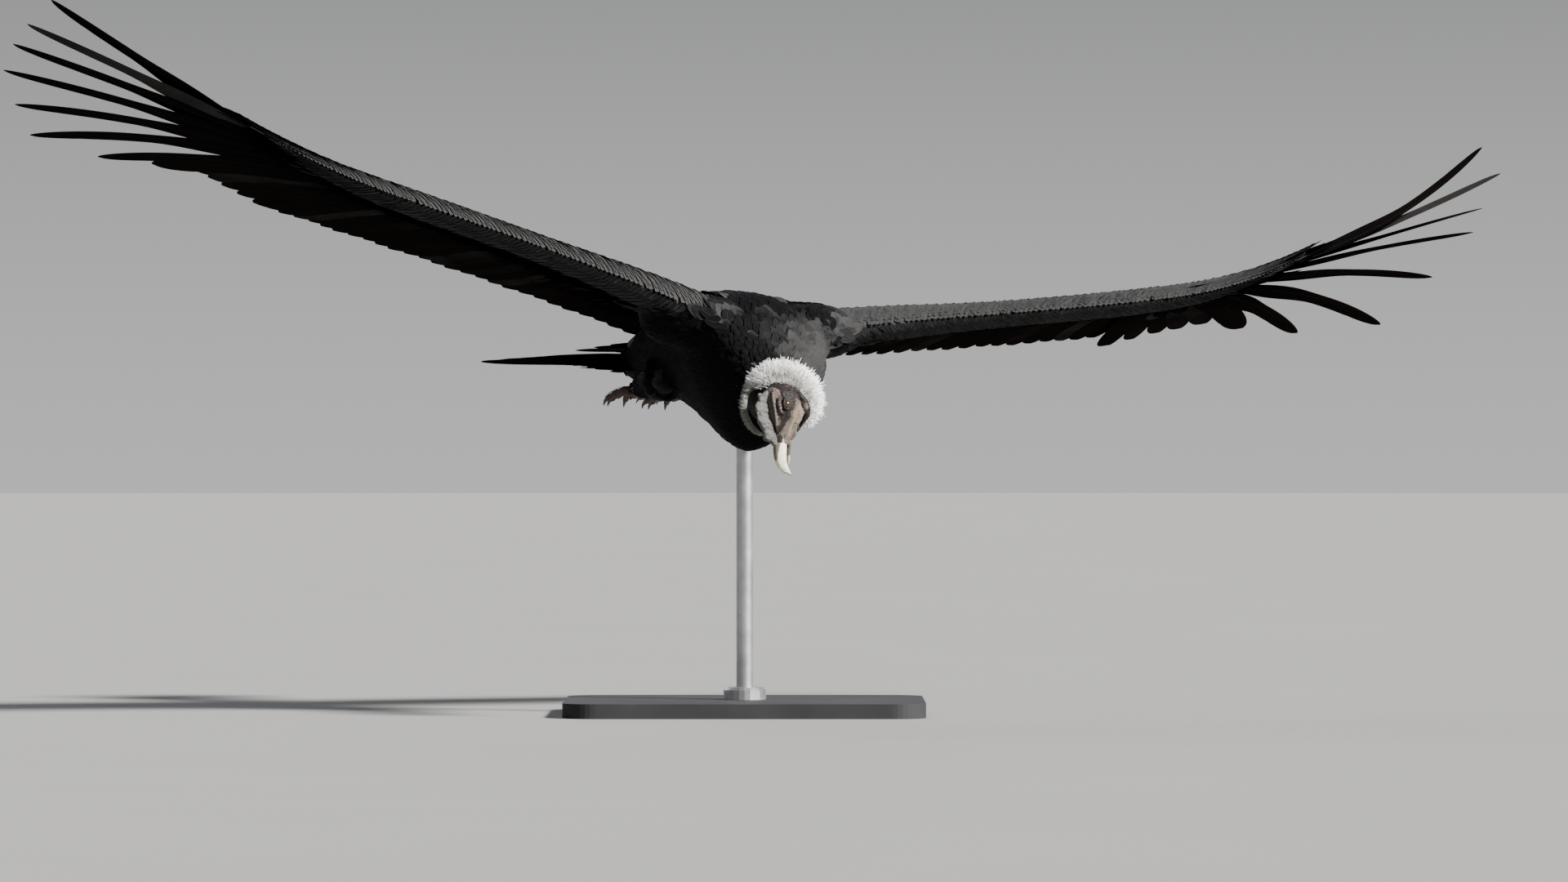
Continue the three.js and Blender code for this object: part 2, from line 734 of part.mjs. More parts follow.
// Tiers of coverts over and under the flight feathers
function makeArmTier(wing, frameAt, tier) {
  return Array.from({ length: tier.count }, (_, i) => {
    const t = (i + 0.5) / tier.count;
    const d = THREE.MathUtils.lerp(WRIST - 8, 8, t);
    const angle = THREE.MathUtils.lerp(...SECONDARY_ANGLE, t);
    return feather({
      root: rootIn(frameAt, d, tier.chord, tier.height),
      from: heading(wing.side, angle, tier.pitch + 2 - wing.incidence),
      to: heading(wing.side, angle + 2, tier.pitch - 2 - wing.incidence),
      normal: frameAt(d).up,
      side: wing.side,
      length: tier.length * (1 + 0.04 * Math.sin(i * 2.7)),
      lead: tier.lead,
      trail: tier.trail,
      tilt: radians(6),
      thick: 3,
      edge: 0.9,
      steps: 2,
    });
  });
}

function makeHandTier(wing, frameAt, tier) {
  return Array.from({ length: tier.count }, (_, i) => {
    const t = (i + 0.5) / tier.count;
    const place = t * (PRIMARIES - 2.4);
    const d = primaryPlace(place);
    const angle = primaryAngle(wing, place);
    const rise = smooth(PRIMARY_START, place / (PRIMARIES - 1)) + handRise(wing, angle) + tier.pitch;
    return feather({
      root: rootIn(frameAt, d, tier.chord, tier.height),
      from: heading(wing.side, angle, rise),
      to: heading(wing.side, angle + 3, rise - 3),
      normal: frameAt(d).up,
      side: wing.side,
      length: tier.length * (1 - 0.2 * t),
      lead: 17,
      trail: 30,
      tilt: radians(8),
      thick: 3,
      edge: 0.9,
      steps: 2,
    });
  });
}

// The alula: two short feathers along the front of the wrist
function makeAlula(wing, frameAt) {
  return ALULA.map(({ at, length, angle }) =>
    feather({
      root: rootIn(frameAt, at, 0.12, 0.3),
      from: heading(wing.side, angle + wing.handBack, 9 + wing.lift),
      to: heading(wing.side, angle + wing.handBack + 8, 12 + wing.lift),
      normal: frameAt(at).up,
      side: wing.side,
      length,
      lead: 9,
      trail: 18,
      tilt: radians(12),
      thick: 3,
      edge: 0.9,
      steps: 2,
    }),
  );
}

// The plane that parts two nodes of a wing, between the roots of two feathers and along them
function partingPlane(wing, frameAt, d, angle) {
  const place = rootIn(frameAt, d, 0.5, 0);
  const { up, out } = frameAt(d);
  const direction = heading(wing.side, angle, 0).cross(up).normalize();
  if (direction.dot(out) < 0) direction.negate();
  return { place, direction };
}

function makeWing(name, wing, trunk) {
  const frameAt = wingFrames(wing);
  const core = makeArmCore(frameAt);
  const secondaries = Array.from({ length: SECONDARIES }, (_, i) => makeSecondary(wing, frameAt, i));
  const primaries = Array.from({ length: PRIMARIES }, (_, i) => makePrimary(wing, frameAt, i));
  const armCoverts = ARM_TIERS.flatMap((tier) => makeArmTier(wing, frameAt, tier));
  const handCoverts = HAND_TIERS.flatMap((tier) => makeHandTier(wing, frameAt, tier));
  const elbow = partingPlane(wing, frameAt, ELBOW - 9, 88);
  const wrist = partingPlane(wing, frameAt, WRIST, (SECONDARY_ANGLE[0] + primaryAngle(wing, 0)) / 2);
  const outside = (plane) => beyond(plane.place.clone().addScaledVector(plane.direction, -GAP / 2), plane.direction);
  const inside = (plane) =>
    beyond(plane.place.clone().addScaledVector(plane.direction, GAP / 2), plane.direction.clone().negate());
  const arm = join([core, ...secondaries, ...armCoverts]);
  const hand = join([core, ...primaries, ...handCoverts, ...makeAlula(wing, frameAt)]);
  const pieces = {
    arm: cut(arm, [outside(elbow), trunk]),
    forearm: cut(arm, [inside(elbow), outside(wrist)]),
    hand: cut(hand, [inside(wrist)]),
  };
  const pivots = { arm: frameAt(0).place, forearm: elbow.place, hand: wrist.place };
  return Object.entries(pieces).map(([key, piece]) => node(`wing_${name}_${key}`, "plumage", piece, pivots[key]));
}

// Tail

function tailFeather(across, { height, depth, width, length, rise, steps }) {
  const side = across < 0 ? -1 : 1;
  const angle = 90 - TAIL_SPREAD * Math.abs(across);
  return feather({
    root: TAIL_ROOT.clone().add(vector(24 * across, 0, height - depth * Math.abs(across))),
    from: heading(side, angle, TAIL_DROOP[0] + rise),
    to: heading(side, angle, TAIL_DROOP[1] + rise),
    normal: UP,
    side,
    length: length * (1 - 0.05 * across ** 2),
    lead: width * 0.42,
    trail: width * 0.58,
    tilt: radians(6),
    thick: 3.4,
    edge: 0.9,
    steps,
  });
}

function makeTail() {
  const fan = (count, shape) =>
    Array.from({ length: count }, (_, i) => tailFeather((i / (count - 1)) * 2 - 1, shape));
  const rump = ball([0, TAIL_ROOT.y + 12, TAIL_ROOT.z], [34, 106, 26], 0, 12);
  return join([
    rump,
    ...fan(RECTRICES, { height: 0, depth: 19, width: 58, length: TAIL_LENGTH, rise: 0, steps: 3 }),
    ...fan(4, { height: 13, depth: 6, width: 70, length: 168, rise: -1, steps: 2 }),
    ...fan(4, { height: -26, depth: 2, width: 70, length: 205, rise: 0.5, steps: 2 }),
  ]);
}

// Legs, laid back under the tail
function makeLeg(side) {
  const at = (x, y, z) => [side * x, y, z];
  const thigh = rope([at(54, 215, -92), at(50, 275, -100), at(44, 330, -108), at(40, 380, -118)], LEG_RADII, 7, 8);
  const reach = ({ spread, length }, share, drop) => at(40 + spread * share, 370 + length * share, -119 + drop);
  const toes = TOES.map((toe) => {
    const line = [reach(toe, 0, 0), reach(toe, 0.35, 3), reach(toe, 0.7, -4), reach(toe, 0.95, -12), reach(toe, 1.05, -24)];
    return rope(line, TOE_RADII, 5, 6);
  });
  return join([thigh, ...toes]);
}

// Stand

function standBase() {
  const x = BASE_LENGTH / 2;
  const y = BASE_WIDTH / 2;
  const r = BASE_CORNER;
  const outline = new THREE.Shape();
  outline.moveTo(-x + r, -y);
  outline.lineTo(x - r, -y);
  outline.absarc(x - r, -y + r, r, -Math.PI / 2, 0);
  outline.absarc(x - r, y - r, r, 0, Math.PI / 2);
  outline.absarc(-x + r, y - r, r, Math.PI / 2, Math.PI);
  outline.absarc(-x + r, -y + r, r, Math.PI, 1.5 * Math.PI);
  return solid(new THREE.ExtrudeGeometry(outline, { depth: BASE_THICKNESS, bevelEnabled: false, curveSegments: 5 }));
}

function turned(profile) {
  const lathe = new THREE.LatheGeometry(profile.map(([r, z]) => new THREE.Vector2(r, z)), 24);
  return solid(lathe.rotateX(Math.PI / 2));
}

// The rod on its collar, from the base up into the breast
function makeRod() {
  const top = SHOULDERS.z - 190 - BASE_THICKNESS;
  const profile = [
    [0, 0],
    [COLLAR_RADIUS, 0],
    [COLLAR_RADIUS, COLLAR_HEIGHT - 5],
    [COLLAR_RADIUS - 5, COLLAR_HEIGHT],
    [ROD_RADIUS, COLLAR_HEIGHT],
    [ROD_RADIUS, top],
    [0, top],
  ];
  return moved(turned(profile), new THREE.Matrix4().makeTranslation(0, 0, BASE_THICKNESS + GAP));
}

// The whole model

const bird = new THREE.Group();
bird.position.copy(SHOULDERS);
bird.rotation.set(0, radians(BANK), radians(YAW), "ZYX");
bird.updateMatrixWorld(true);

const trunkGrown = makeTrunk(GROWN);
const inHead = (whole) => moved(whole, headMatrix());
const headCutter = inHead(join([makeFlesh(GROWN), makeEye(-1, GROWN), makeEye(1, GROWN)]));
const head = inHead(largest(makeHead()));
const comb = cut(inHead(makeComb()), [headCutter]);
const upperBill = cut(inHead(makeUpperBill()), [headCutter, comb]);
const lowerBill = cut(inHead(makeLowerBill()), [headCutter]);
const neck = cut(makeNeck(), [trunkGrown, headCutter]);
const ruff = cut(makeRuff(), [trunkGrown, makeNeck(GROWN), headCutter]);

bird.add(node("torso", "plumage", makeTrunk()));
bird.add(node("neck", "skin", neck, neckCurve.getPoint(0.5)));
bird.add(node("ruff", "down", ruff, neckCurve.getPoint(RUFF_PLACE)));
bird.add(node("head", "skin", head, HEAD_PLACE));
bird.add(node("comb", "comb", comb, HEAD_PLACE));
bird.add(node("bill_upper", "ivory", upperBill, HEAD_PLACE));
bird.add(node("bill_lower", "ivory", lowerBill, HEAD_PLACE));
bird.add(node("eye_right", "eye", inHead(makeEye(-1)), HEAD_PLACE));
bird.add(node("eye_left", "eye", inHead(makeEye(1)), HEAD_PLACE));
for (const [name, wing] of Object.entries(WINGS)) {
  bird.add(...makeWing(name, wing, trunkGrown));
}
bird.add(node("tail", "plumage", cut(makeTail(), [trunkGrown]), TAIL_ROOT));
bird.add(node("leg_right", "foot", cut(makeLeg(-1), [trunkGrown]), vector(-54, 215, -92)));
bird.add(node("leg_left", "foot", cut(makeLeg(1), [trunkGrown]), vector(54, 215, -92)));

const stand = new THREE.Group();
const trunkInWorld = moved(trunkGrown, bird.matrixWorld);
stand.add(node("stand_base", "base", standBase()));
stand.add(node("stand_rod", "steel", cut(makeRod(), [trunkInWorld])));

const condor = new THREE.Group();
condor.add(bird, stand);
export default condor;
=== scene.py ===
"""An adult male Andean condor, soaring with its head hung down, as a museum model on a plain stand."""

import json
import math

import bpy
import numpy as np
from bpy.props import FloatProperty, FloatVectorProperty, IntProperty, PointerProperty
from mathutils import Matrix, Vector
from mathutils.bvhtree import BVHTree
from mathutils.kdtree import KDTree

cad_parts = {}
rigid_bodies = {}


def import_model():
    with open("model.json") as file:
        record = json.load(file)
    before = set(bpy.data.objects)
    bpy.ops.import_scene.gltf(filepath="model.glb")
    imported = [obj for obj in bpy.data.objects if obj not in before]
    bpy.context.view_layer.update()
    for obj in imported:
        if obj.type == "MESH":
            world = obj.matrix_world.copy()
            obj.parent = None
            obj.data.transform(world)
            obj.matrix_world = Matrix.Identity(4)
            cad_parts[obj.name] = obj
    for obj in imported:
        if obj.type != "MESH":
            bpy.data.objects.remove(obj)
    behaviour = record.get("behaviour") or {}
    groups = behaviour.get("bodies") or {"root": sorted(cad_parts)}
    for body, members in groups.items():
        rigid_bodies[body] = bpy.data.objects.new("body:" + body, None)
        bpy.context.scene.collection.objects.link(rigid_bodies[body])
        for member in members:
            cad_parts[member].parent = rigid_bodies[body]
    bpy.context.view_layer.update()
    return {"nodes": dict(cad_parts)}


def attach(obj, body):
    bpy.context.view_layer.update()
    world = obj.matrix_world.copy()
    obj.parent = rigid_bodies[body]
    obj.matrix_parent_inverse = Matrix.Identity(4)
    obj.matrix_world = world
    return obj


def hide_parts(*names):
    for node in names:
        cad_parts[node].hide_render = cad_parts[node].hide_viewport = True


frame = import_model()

bl_info = {
    "name": "Andean condor",
    "version": (1, 0, 0),
    "blender": (4, 5, 0),
    "location": "3D View > Sidebar > Condor",
    "description": "Dresses the condor's solids in skin, feathers, down and horn",
    "category": "Object",
}

# Sizes in millimetres and degrees, in the bird's own frame: +X its left, +Y its tail, +Z up,
# from the middle between its shoulders. They are the ones that the solids are built from.
YAW, BANK = 29, 4
SHOULDERS = (20, -60, 690)

TRUNK = np.array(
    [
        # y, half width, top, bottom
        (-142, 38, -66, -136),
        (-110, 80, -18, -184),
        (-60, 110, 34, -216),
        (10, 116, 64, -229),
        (100, 108, 70, -196),
        (190, 94, 60, -155),
        (280, 76, 38, -130),
        (360, 56, 8, -117),
        (430, 40, -18, -102),
        (480, 22, -34, -82),
    ],
    float,
)
KEEL = 0.5
SHOULDER_PLACE = (112, 20, 0)
SHOULDER_SIZE = (104, 108, 56)

NECK_PATH = [(-4, -70, -104), (-20, -128, -136), (-37, -176, -142), (-58, -218, -142), (-80, -246, -140)]
NECK_RADII = [54, 46, 38, 31, 27]
NECK_FOLDS = 7
RUFF_PLACE = 0.46
RUFF_FORWARD = (-0.56, -0.82, 0.08)
RUFF_RADIUS = 49
RUFF_THICK = 11
RUFF_OPENING = 84
RUFF_LEAN = -77

HEAD_PLACE = (-86, -262, -150)
BILL_DIRECTION = (-0.12, -0.24, -0.96)
CROWN_DIRECTION = (-0.96, -0.25, -0.07)
HEAD = np.array(
    [
        # y, half width, low, high
        (33, 19, -24, 24),
        (18, 31, -35, 33),
        (0, 33, -38, 33),
        (-18, 28, -36, 28),
        (-36, 20, -31, 20),
        (-54, 14, -27, 13),
        (-68, 12, -22, 8),
    ],
    float,
)
EYE_PLACE = (26.5, -3, 10)
EYE_RADIUS = 8.5
MOUTH_HEIGHT = -17.8
COMB_LOBES = 3.5
COMB_TOP = [12, 34, 46, 54, 56, 50, 36]
COMB_FOOT = [-2, 0, 4, 10, 16, 20, 24]
COMB_HALF = [4, 7, 7, 6, 6, 5, 4]
# Lumps on the comb: the side each is on, and its place along and up
COMB_LUMPS = [(1, -44, 34), (-1, -36, 40), (1, -24, 45), (-1, -13, 47), (1, -2, 48), (-1, 9, 45),
              (1, -58, 22), (-1, -63, 17)]

LEG_LINE = [(54, 215, -92), (50, 275, -100), (44, 330, -108), (40, 380, -118)]

ELBOW, WRIST, HAND_END = 330, 700, 1000
ROOT_INSIDE = -60
SHOULDER_JOINT = (88, -62, -4)
RISE = [13, 9, 9.5, 24]
SWEEP = [1, -6, -4, 17]
CORE_CHORD = [190, 175, 140, 34]
CORE_DEPTH = [72, 48, 42, 10]
WINGS = {
    "right": dict(side=-1, root_lift=4.7, lift=2.3, hand_back=-3, incidence=0.5, twist=6, roll=9, curl=0,
                  raised=[-3, -3.5, -3, -1.5, 0, 0, 0, 0, 0, 0]),
    "left": dict(side=1, root_lift=-2.8, lift=4.3, hand_back=-18, incidence=7.5, twist=-12.8, roll=-15,
                 curl=7.5,
                 raised=[3, 2.5, 2, 0, -1, 1, 2, 0.3, -1, -3.5]),
}
SECONDARIES = 20
SECONDARY_LENGTH = (316, 356)
SECONDARY_ANGLE = (73, 97)
PRIMARY_ANGLE = [74, 69.5, 65.5, 52, 39, 29, 20.5, 17, 6, 4]
PRIMARY_START = [-1, 2, 4, 5, 8, 10, 12, 15.5, 19, 22.5]
PRIMARY_END = [-12, -8, -6, -10, -11.5, -4, 4.5, 10.5, 15, 25]
PRIMARY_LENGTH = [334, 342, 354, 460, 523, 516, 521, 496, 476, 434]
HAND_SHARE = [0.2, 0.5, 0.8, 1, 1, 1, 1, 1, 1, 1]
PRIMARIES = len(PRIMARY_LENGTH)

RECTRICES = 12
TAIL_ROOT = (0, 388, -46)
TAIL_SPREAD = 21
TAIL_LENGTH = 402
TAIL_DROOP = (0.5, -1.5)
# Tail coverts, above and then below: how many, height and drop of the roots, width, length, rise
TAIL_COVERTS = [
    (11, 13, 6, 42, 168, -1), (9, 19, 6, 38, 116, -1.5), (7, 23, 6, 34, 78, -2),
    (11, -22, 2, 42, 205, 0.5), (9, -27, 2, 38, 150, 0.5), (7, -30, 2, 34, 96, 1),
]
LEG_RADII = [46, 36, 17, 12]
TOES = [(-20, 74), (2, 92), (22, 68)]

# How wide a small feather's or lock's patch is on its unwrap
PATCH = 0.003
# The half thickness of the ruff's pad round its ring, from end to end, in twelfths of RUFF_THICK
RUFF_SWELL = [4, 8, 10, 11, 12, 11, 10, 8, 4]
# The toes' radii in the render, from the ankle out
TOE_SKIN = [9.5, 8.6, 7.4, 5.2]


def lerp(a, b, t):
    return a + (b - a) * t


def unit(v):
    """v over its own length, along the last axis."""
    v = np.asarray(v, float)
    return v / np.maximum(np.linalg.norm(v, axis=-1, keepdims=True), 1e-12)


def dot(a, b):
    return (a * b).sum(-1, keepdims=True)


def xyz(*values):
    """Values side by side along a new last axis, each spread to the shape of the others."""
    return np.stack(np.broadcast_arrays(*values), -1)


def over_to(side, points):
    """Points given for the left, on the side -1 or 1."""
    return np.array(points, float) * (side, 1, 1)


def turns(count):
    """Even turns round a ring, from 0."""
    return np.arange(count) / count * 2 * math.pi


def step(t, low, high):
    """0 below low, 1 above high, and 3x^2 - 2x^3 between them."""
    x = np.clip((t - low) / (high - low), 0, 1)
    return x * x * (3 - 2 * x)


def cubic(p1, p2, m1, m2, f):
    """The cubic from p1 to p2 with the slopes m1 and m2 at its ends, read at f from 0 to 1."""
    a = 2 * p1 - 2 * p2 + m1 + m2
    b = -3 * p1 + 3 * p2 - 2 * m1 - m2
    return ((a * f + b) * f + m1) * f + p1


def smooth(values, t):
    """Catmull-Rom curve through values at even steps, read at t from 0 to 1: a cubic between each two
    values whose slope at a value is half the difference of the values on its two sides."""
    v = np.asarray(values, float)
    last = len(v) - 1
    place = np.clip(np.asarray(t, float), 0, 1) * last
    i = np.minimum(np.floor(place).astype(int), last - 1)
    f = place - i
    if v.ndim > 1:
        f = f[..., None]
    p0, p1, p2, p3 = v[np.maximum(i - 1, 0)], v[i], v[i + 1], v[np.minimum(i + 2, last)]
    return cubic(p1, p2, (p2 - p0) / 2, (p3 - p1) / 2, f)


def through(points, t):
    """Centripetal Catmull-Rom curve through points, read at t from 0 to 1: as smooth(), with each
    step weighed by the square root of its length."""
    p = np.asarray(points, float)
    n = len(p)
    ext = np.vstack([2 * p[0] - p[1], p, 2 * p[-1] - p[-2]])
    place = np.clip(np.asarray(t, float), 0, 1) * (n - 1)
    i = np.minimum(np.floor(place).astype(int), n - 2)
    f = (place - i)[..., None]
    p0, p1, p2, p3 = ext[i], ext[i + 1], ext[i + 2], ext[i + 3]
    d0, d1, d2 = (
        np.linalg.norm(q - r, axis=-1)[..., None] ** 0.5 for q, r in ((p1, p0), (p2, p1), (p3, p2))
    )
    m1 = d1 * ((p1 - p0) / d0 - (p2 - p0) / (d0 + d1) + (p2 - p1) / d1)
    m2 = d1 * ((p2 - p1) / d1 - (p3 - p1) / (d1 + d2) + (p3 - p2) / d2)
    return cubic(p1, p2, m1, m2, f)


def ripple(points, size, seed, waves=7):
    """A smooth uneven value from about -1 to 1: the mean of sine waves of about one size that run in
    seeded directions, each shifted by another."""
    rng = np.random.default_rng(seed)
    total = np.zeros(len(points))
    for _ in range(waves):
        way = unit(rng.normal(size=3))
        bent = points @ unit(rng.normal(size=3)) / size * 0.9 + rng.uniform(0, 9)
        place = points @ way * 2 * math.pi / size * rng.uniform(0.7, 1.4)
        total += np.sin(place + 1.5 * np.sin(bent) + rng.uniform(0, 9))
    return total / waves * 1.7


def to_world(points):
    """Bird's frame in millimetres to the row frame in metres: bank about Y, yaw about Z, then the
    shoulders' place."""
    b, y = math.radians(BANK), math.radians(YAW)
    bank = np.array([[math.cos(b), 0, math.sin(b)], [0, 1, 0], [-math.sin(b), 0, math.cos(b)]])
    yaw = np.array([[math.cos(y), -math.sin(y), 0], [math.sin(y), math.cos(y), 0], [0, 0, 1]])
    return (points @ (yaw @ bank).T + np.array(SHOULDERS, float)) / 1000


HEAD_BACK = -unit(BILL_DIRECTION)
HEAD_LEFT = unit(np.cross(HEAD_BACK, CROWN_DIRECTION))
HEAD_AXES = np.array([HEAD_LEFT, HEAD_BACK, np.cross(HEAD_LEFT, HEAD_BACK)])


def from_head(points):
    """The head's frame (+X its left, -Y out along the bill, +Z the crown) to the bird's."""
    return np.asarray(points, float) @ HEAD_AXES + np.array(HEAD_PLACE, float)


def to_head(points):
    return (points - np.array(HEAD_PLACE, float)) @ HEAD_AXES.T


class Shape:
    """Points with the faces on them, in one frame."""

    def __init__(self, points, quads=(), tris=()):
        self.points = np.asarray(points, float).reshape(-1, 3)
        self.quads = np.asarray(quads, int).reshape(-1, 4)
        self.tris = np.asarray(tris, int).reshape(-1, 3)

    def moved(self, change):
        return Shape(change(self.points), self.quads, self.tris)


def join(shapes):
    """Several shapes as one, each one's faces counted on from the points before it."""
    starts = np.cumsum([0] + [len(s.points) for s in shapes])
    quads = [s.quads + start for s, start in zip(shapes, starts)]
    tris = [s.tris + start for s, start in zip(shapes, starts)]
    return Shape(np.vstack([s.points for s in shapes]), np.vstack(quads), np.vstack(tris))


def outward(shape):
    """The shape with its faces turned so that its volume, the sum over the faces of
    a . (b x c) / 6, is positive."""
    p = shape.points - shape.points.mean(0)
    t = np.vstack([shape.tris, shape.quads[:, [0, 1, 2]], shape.quads[:, [0, 2, 3]]])
    volume = (p[t[:, 0]] * np.cross(p[t[:, 1]], p[t[:, 2]])).sum()
    return shape if volume > 0 else Shape(shape.points, shape.quads[:, ::-1], shape.tris[:, ::-1])


def tube_faces(rows, sides):
    """Faces between closed rings, and fans to the two points that come after all the rings."""
    k = np.arange(sides)
    r = np.arange(rows - 1)[:, None] * sides
    nxt = (k + 1) % sides
    first, top = rows * sides, (rows - 1) * sides
    quads = xyz(r + k, r + nxt, r + sides + nxt, r + sides + k).reshape(-1, 4)
    return quads, np.vstack([xyz(first, nxt, k), xyz(first + 1, top + k, top + nxt)])


def loft(rings, start, end):
    """Closed rings (rows, sides, 3) joined in order, with a fan to a middle point at each end."""
    return outward(Shape(np.vstack([rings.reshape(-1, 3), [start], [end]]), *tube_faces(*rings.shape[:2])))


def egg_rings(y, half, low, high, sides, grow=0.0, keel=0.0):
    """Rings across y: x = half (1 + keel sin) cos, z = middle + tall sin, for turns round the ring."""
    turn = turns(sides)
    y, half, low, high = (np.asarray(v, float)[:, None] for v in (y, half, low, high))
    middle, tall = (low + high) / 2, (high - low) / 2 + grow
    x = (half + grow) * (1 + keel * np.sin(turn)) * np.cos(turn)
    return xyz(x, y, middle + tall * np.sin(turn))


def ball(place, size, sides=28, rows=18):
    """An ellipsoid: size times (sin f cos g, sin f sin g, cos f) about a place."""
    f, g = ((np.arange(rows) + 0.5) / rows * math.pi)[:, None], turns(sides)
    rings = xyz(np.sin(f) * np.cos(g), np.sin(f) * np.sin(g), np.cos(f))
    size, place = np.array(size, float), np.array(place, float)
    return loft(rings * size + place, place + size * (0, 0, 1), place - size * (0, 0, 1))


def carried(line, size, sides=12, flat=1.0, lean=(0, 0, 1)):
    """A round (or flattened) section carried along a line of points: each ring is the line's point plus
    size times (cos across + flat sin over), with across and over square to the line."""
    line = np.asarray(line, float)
    along = unit(np.gradient(line, axis=0))
    over = unit(np.array(lean, float) - along * dot(along, np.array(lean, float)))
    across = np.cross(along, over)
    turn = turns(sides)[None, :, None]
    ring = across[:, None] * np.cos(turn) + flat * over[:, None] * np.sin(turn)
    rings = line[:, None] + ring * size[:, None, None]
    return loft(rings, line[0] - along[0] * size[0] * 0.4, line[-1] + along[-1] * size[-1] * 0.4)


def rope(points, radii, rows=12, sides=10, flat=1.0, lean=(0, 0, 1)):
    """A section carried along the smooth curve through points, its radius read from a list."""
    t = np.linspace(0, 1, rows)
    return carried(through(points, t), smooth(radii, t), sides, flat, lean)


def vertex_normals(shape):
    """Each point's normal: the sum of its faces' normals, weighed by their areas."""
    total = np.zeros_like(shape.points)
    for faces in (shape.quads, shape.tris):
        a, b, c, d = (shape.points[faces[:, k]] for k in (0, 1, 2, -1))
        n = np.cross(c - a, d - b) if faces.shape[1] == 4 else np.cross(b - a, c - a)
        for corner in range(faces.shape[1]):
            for axis in range(3):
                total[:, axis] += np.bincount(faces[:, corner], n[:, axis], len(total))
    return unit(total)


def relaxed(shape, rounds, share=0.5):
    """Each point moved a share of the way to the mean of its neighbours, some rounds over."""
    q, t = shape.quads, shape.tris
    edges = [xyz(faces[:, k - 1], faces[:, k]) for faces in (q, t) for k in range(faces.shape[1])]
    edges = np.vstack(edges)
    a, b = np.vstack([edges, edges[:, ::-1]]).T
    count = np.maximum(np.bincount(a, minlength=len(shape.points)), 1)
    points = shape.points.copy()
    for _ in range(rounds):
        mean = xyz(*(np.bincount(a, points[b, axis], len(points)) / count for axis in range(3)))
        points += (mean - points) * share
    return Shape(points, q, t)


def fused(shape, voxel):
    """Overlapping closed shapes made one closed skin, on a grid of voxels."""
    source = mesh_of("fusing", shape, place=lambda p: p)
    thing = bpy.data.objects.new("fusing", source)
    bpy.context.scene.collection.objects.link(thing)
    remesh = thing.modifiers.new("fuse", "REMESH")
    remesh.mode = "VOXEL"
    remesh.voxel_size = voxel
    remesh.use_smooth_shade = True
    bpy.context.view_layer.update()
    done = bpy.data.meshes.new_from_object(thing.evaluated_get(bpy.context.evaluated_depsgraph_get()))
    points = read(done.vertices, "co", 3).reshape(-1, 3)
    totals, starts = (read(done.polygons, key, 1, int) for key in ("loop_total", "loop_start"))
    corners = read(done.loops, "vertex_index", 1, int)
    quads, tris = (corners[starts[totals == count][:, None] + np.arange(count)] for count in (4, 3))
    bpy.data.objects.remove(thing)
    bpy.data.meshes.remove(done)
    bpy.data.meshes.remove(source)
    return Shape(points, quads, tris)


def read(items, key, width, kind=float):
    """One property of all the items of a mesh, as one array."""
    values = np.empty(len(items) * width, kind)
    items.foreach_get(key, values)
    return values


def mesh_of(name, shape, maps=None, values=None, rim=None, place=to_world):
    """A mesh from a shape: maps are UV maps and values are numbers, one for each point; an edge is
    sharp where the rim flags both its points."""
    mesh = bpy.data.meshes.new(name)
    points = place(shape.points)
    corners = np.concatenate([shape.quads.ravel(), shape.tris.ravel()])
    sizes = np.concatenate([np.full(len(shape.quads), 4), np.full(len(shape.tris), 3)])
    mesh.vertices.add(len(points))
    mesh.vertices.foreach_set("co", points.astype(np.float32).ravel())
    mesh.loops.add(len(corners))
    mesh.loops.foreach_set("vertex_index", corners.astype(np.int32))
    mesh.polygons.add(len(sizes))
    mesh.polygons.foreach_set("loop_start", (np.cumsum(sizes) - sizes).astype(np.int32))
    mesh.update(calc_edges=True)
    for key, uv in (maps or {}).items():
        layer = mesh.uv_layers.new(name=key)
        layer.uv.foreach_set("vector", uv[corners].astype(np.float32).ravel())
    for key, value in (values or {}).items():
        mesh.attributes.new(key, "FLOAT", "POINT").data.foreach_set("value", value.astype(np.float32))
    if rim is not None:
        sharp = rim[read(mesh.edges, "vertices", 2, np.int32)].reshape(-1, 2).all(1)
        mesh.attributes.new("sharp_edge", "BOOLEAN", "EDGE").data.foreach_set("value", sharp)
    return mesh


def piece(name, mesh, paints, slot, *nodes):
    """A finished piece: it rides on the one body, stands for its nodes and takes its finish from its paints;
    slot is not used.
    """
    thing = bpy.data.objects.new(name, mesh)
    bpy.context.scene.collection.objects.link(thing)
    for paint in paints if isinstance(paints, list) else [paints]:
        mesh.materials.append(paint)
    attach(thing, "root")
    if nodes:
        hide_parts(*nodes)
    return thing


def bezier(p0, p1, p2, t):
    """Quadratic curve (1-t)^2 p0 + 2 t (1-t) p1 + t^2 p2 for each feather, read at every t."""
    t = t[None, :, None]
    return (1 - t) ** 2 * p0[:, None] + 2 * t * (1 - t) * p1[:, None] + t * t * p2[:, None]


def bent(root, start, end, size):
    """The middle and the tip of feathers that go half their size along start and half along end."""
    half = (size * 0.5)[:, None]
    return root + start * half, root + start * half + end * half


def turning(root, start, end, length, t):
    """Lines that leave root along start and turn evenly to end: each step goes on by its share of the
    length along the direction half way between its ends."""
    here, there = t[:-1], t[1:]
    middle = ((here + there) / 2)[None, :, None]
    ahead = unit(start[:, None] * (1 - middle) + end[:, None] * middle)
    steps = ahead * (there - here)[None, :, None] * length[:, None, None]
    return np.concatenate([root[:, None], root[:, None] + np.cumsum(steps, 1)], 1)


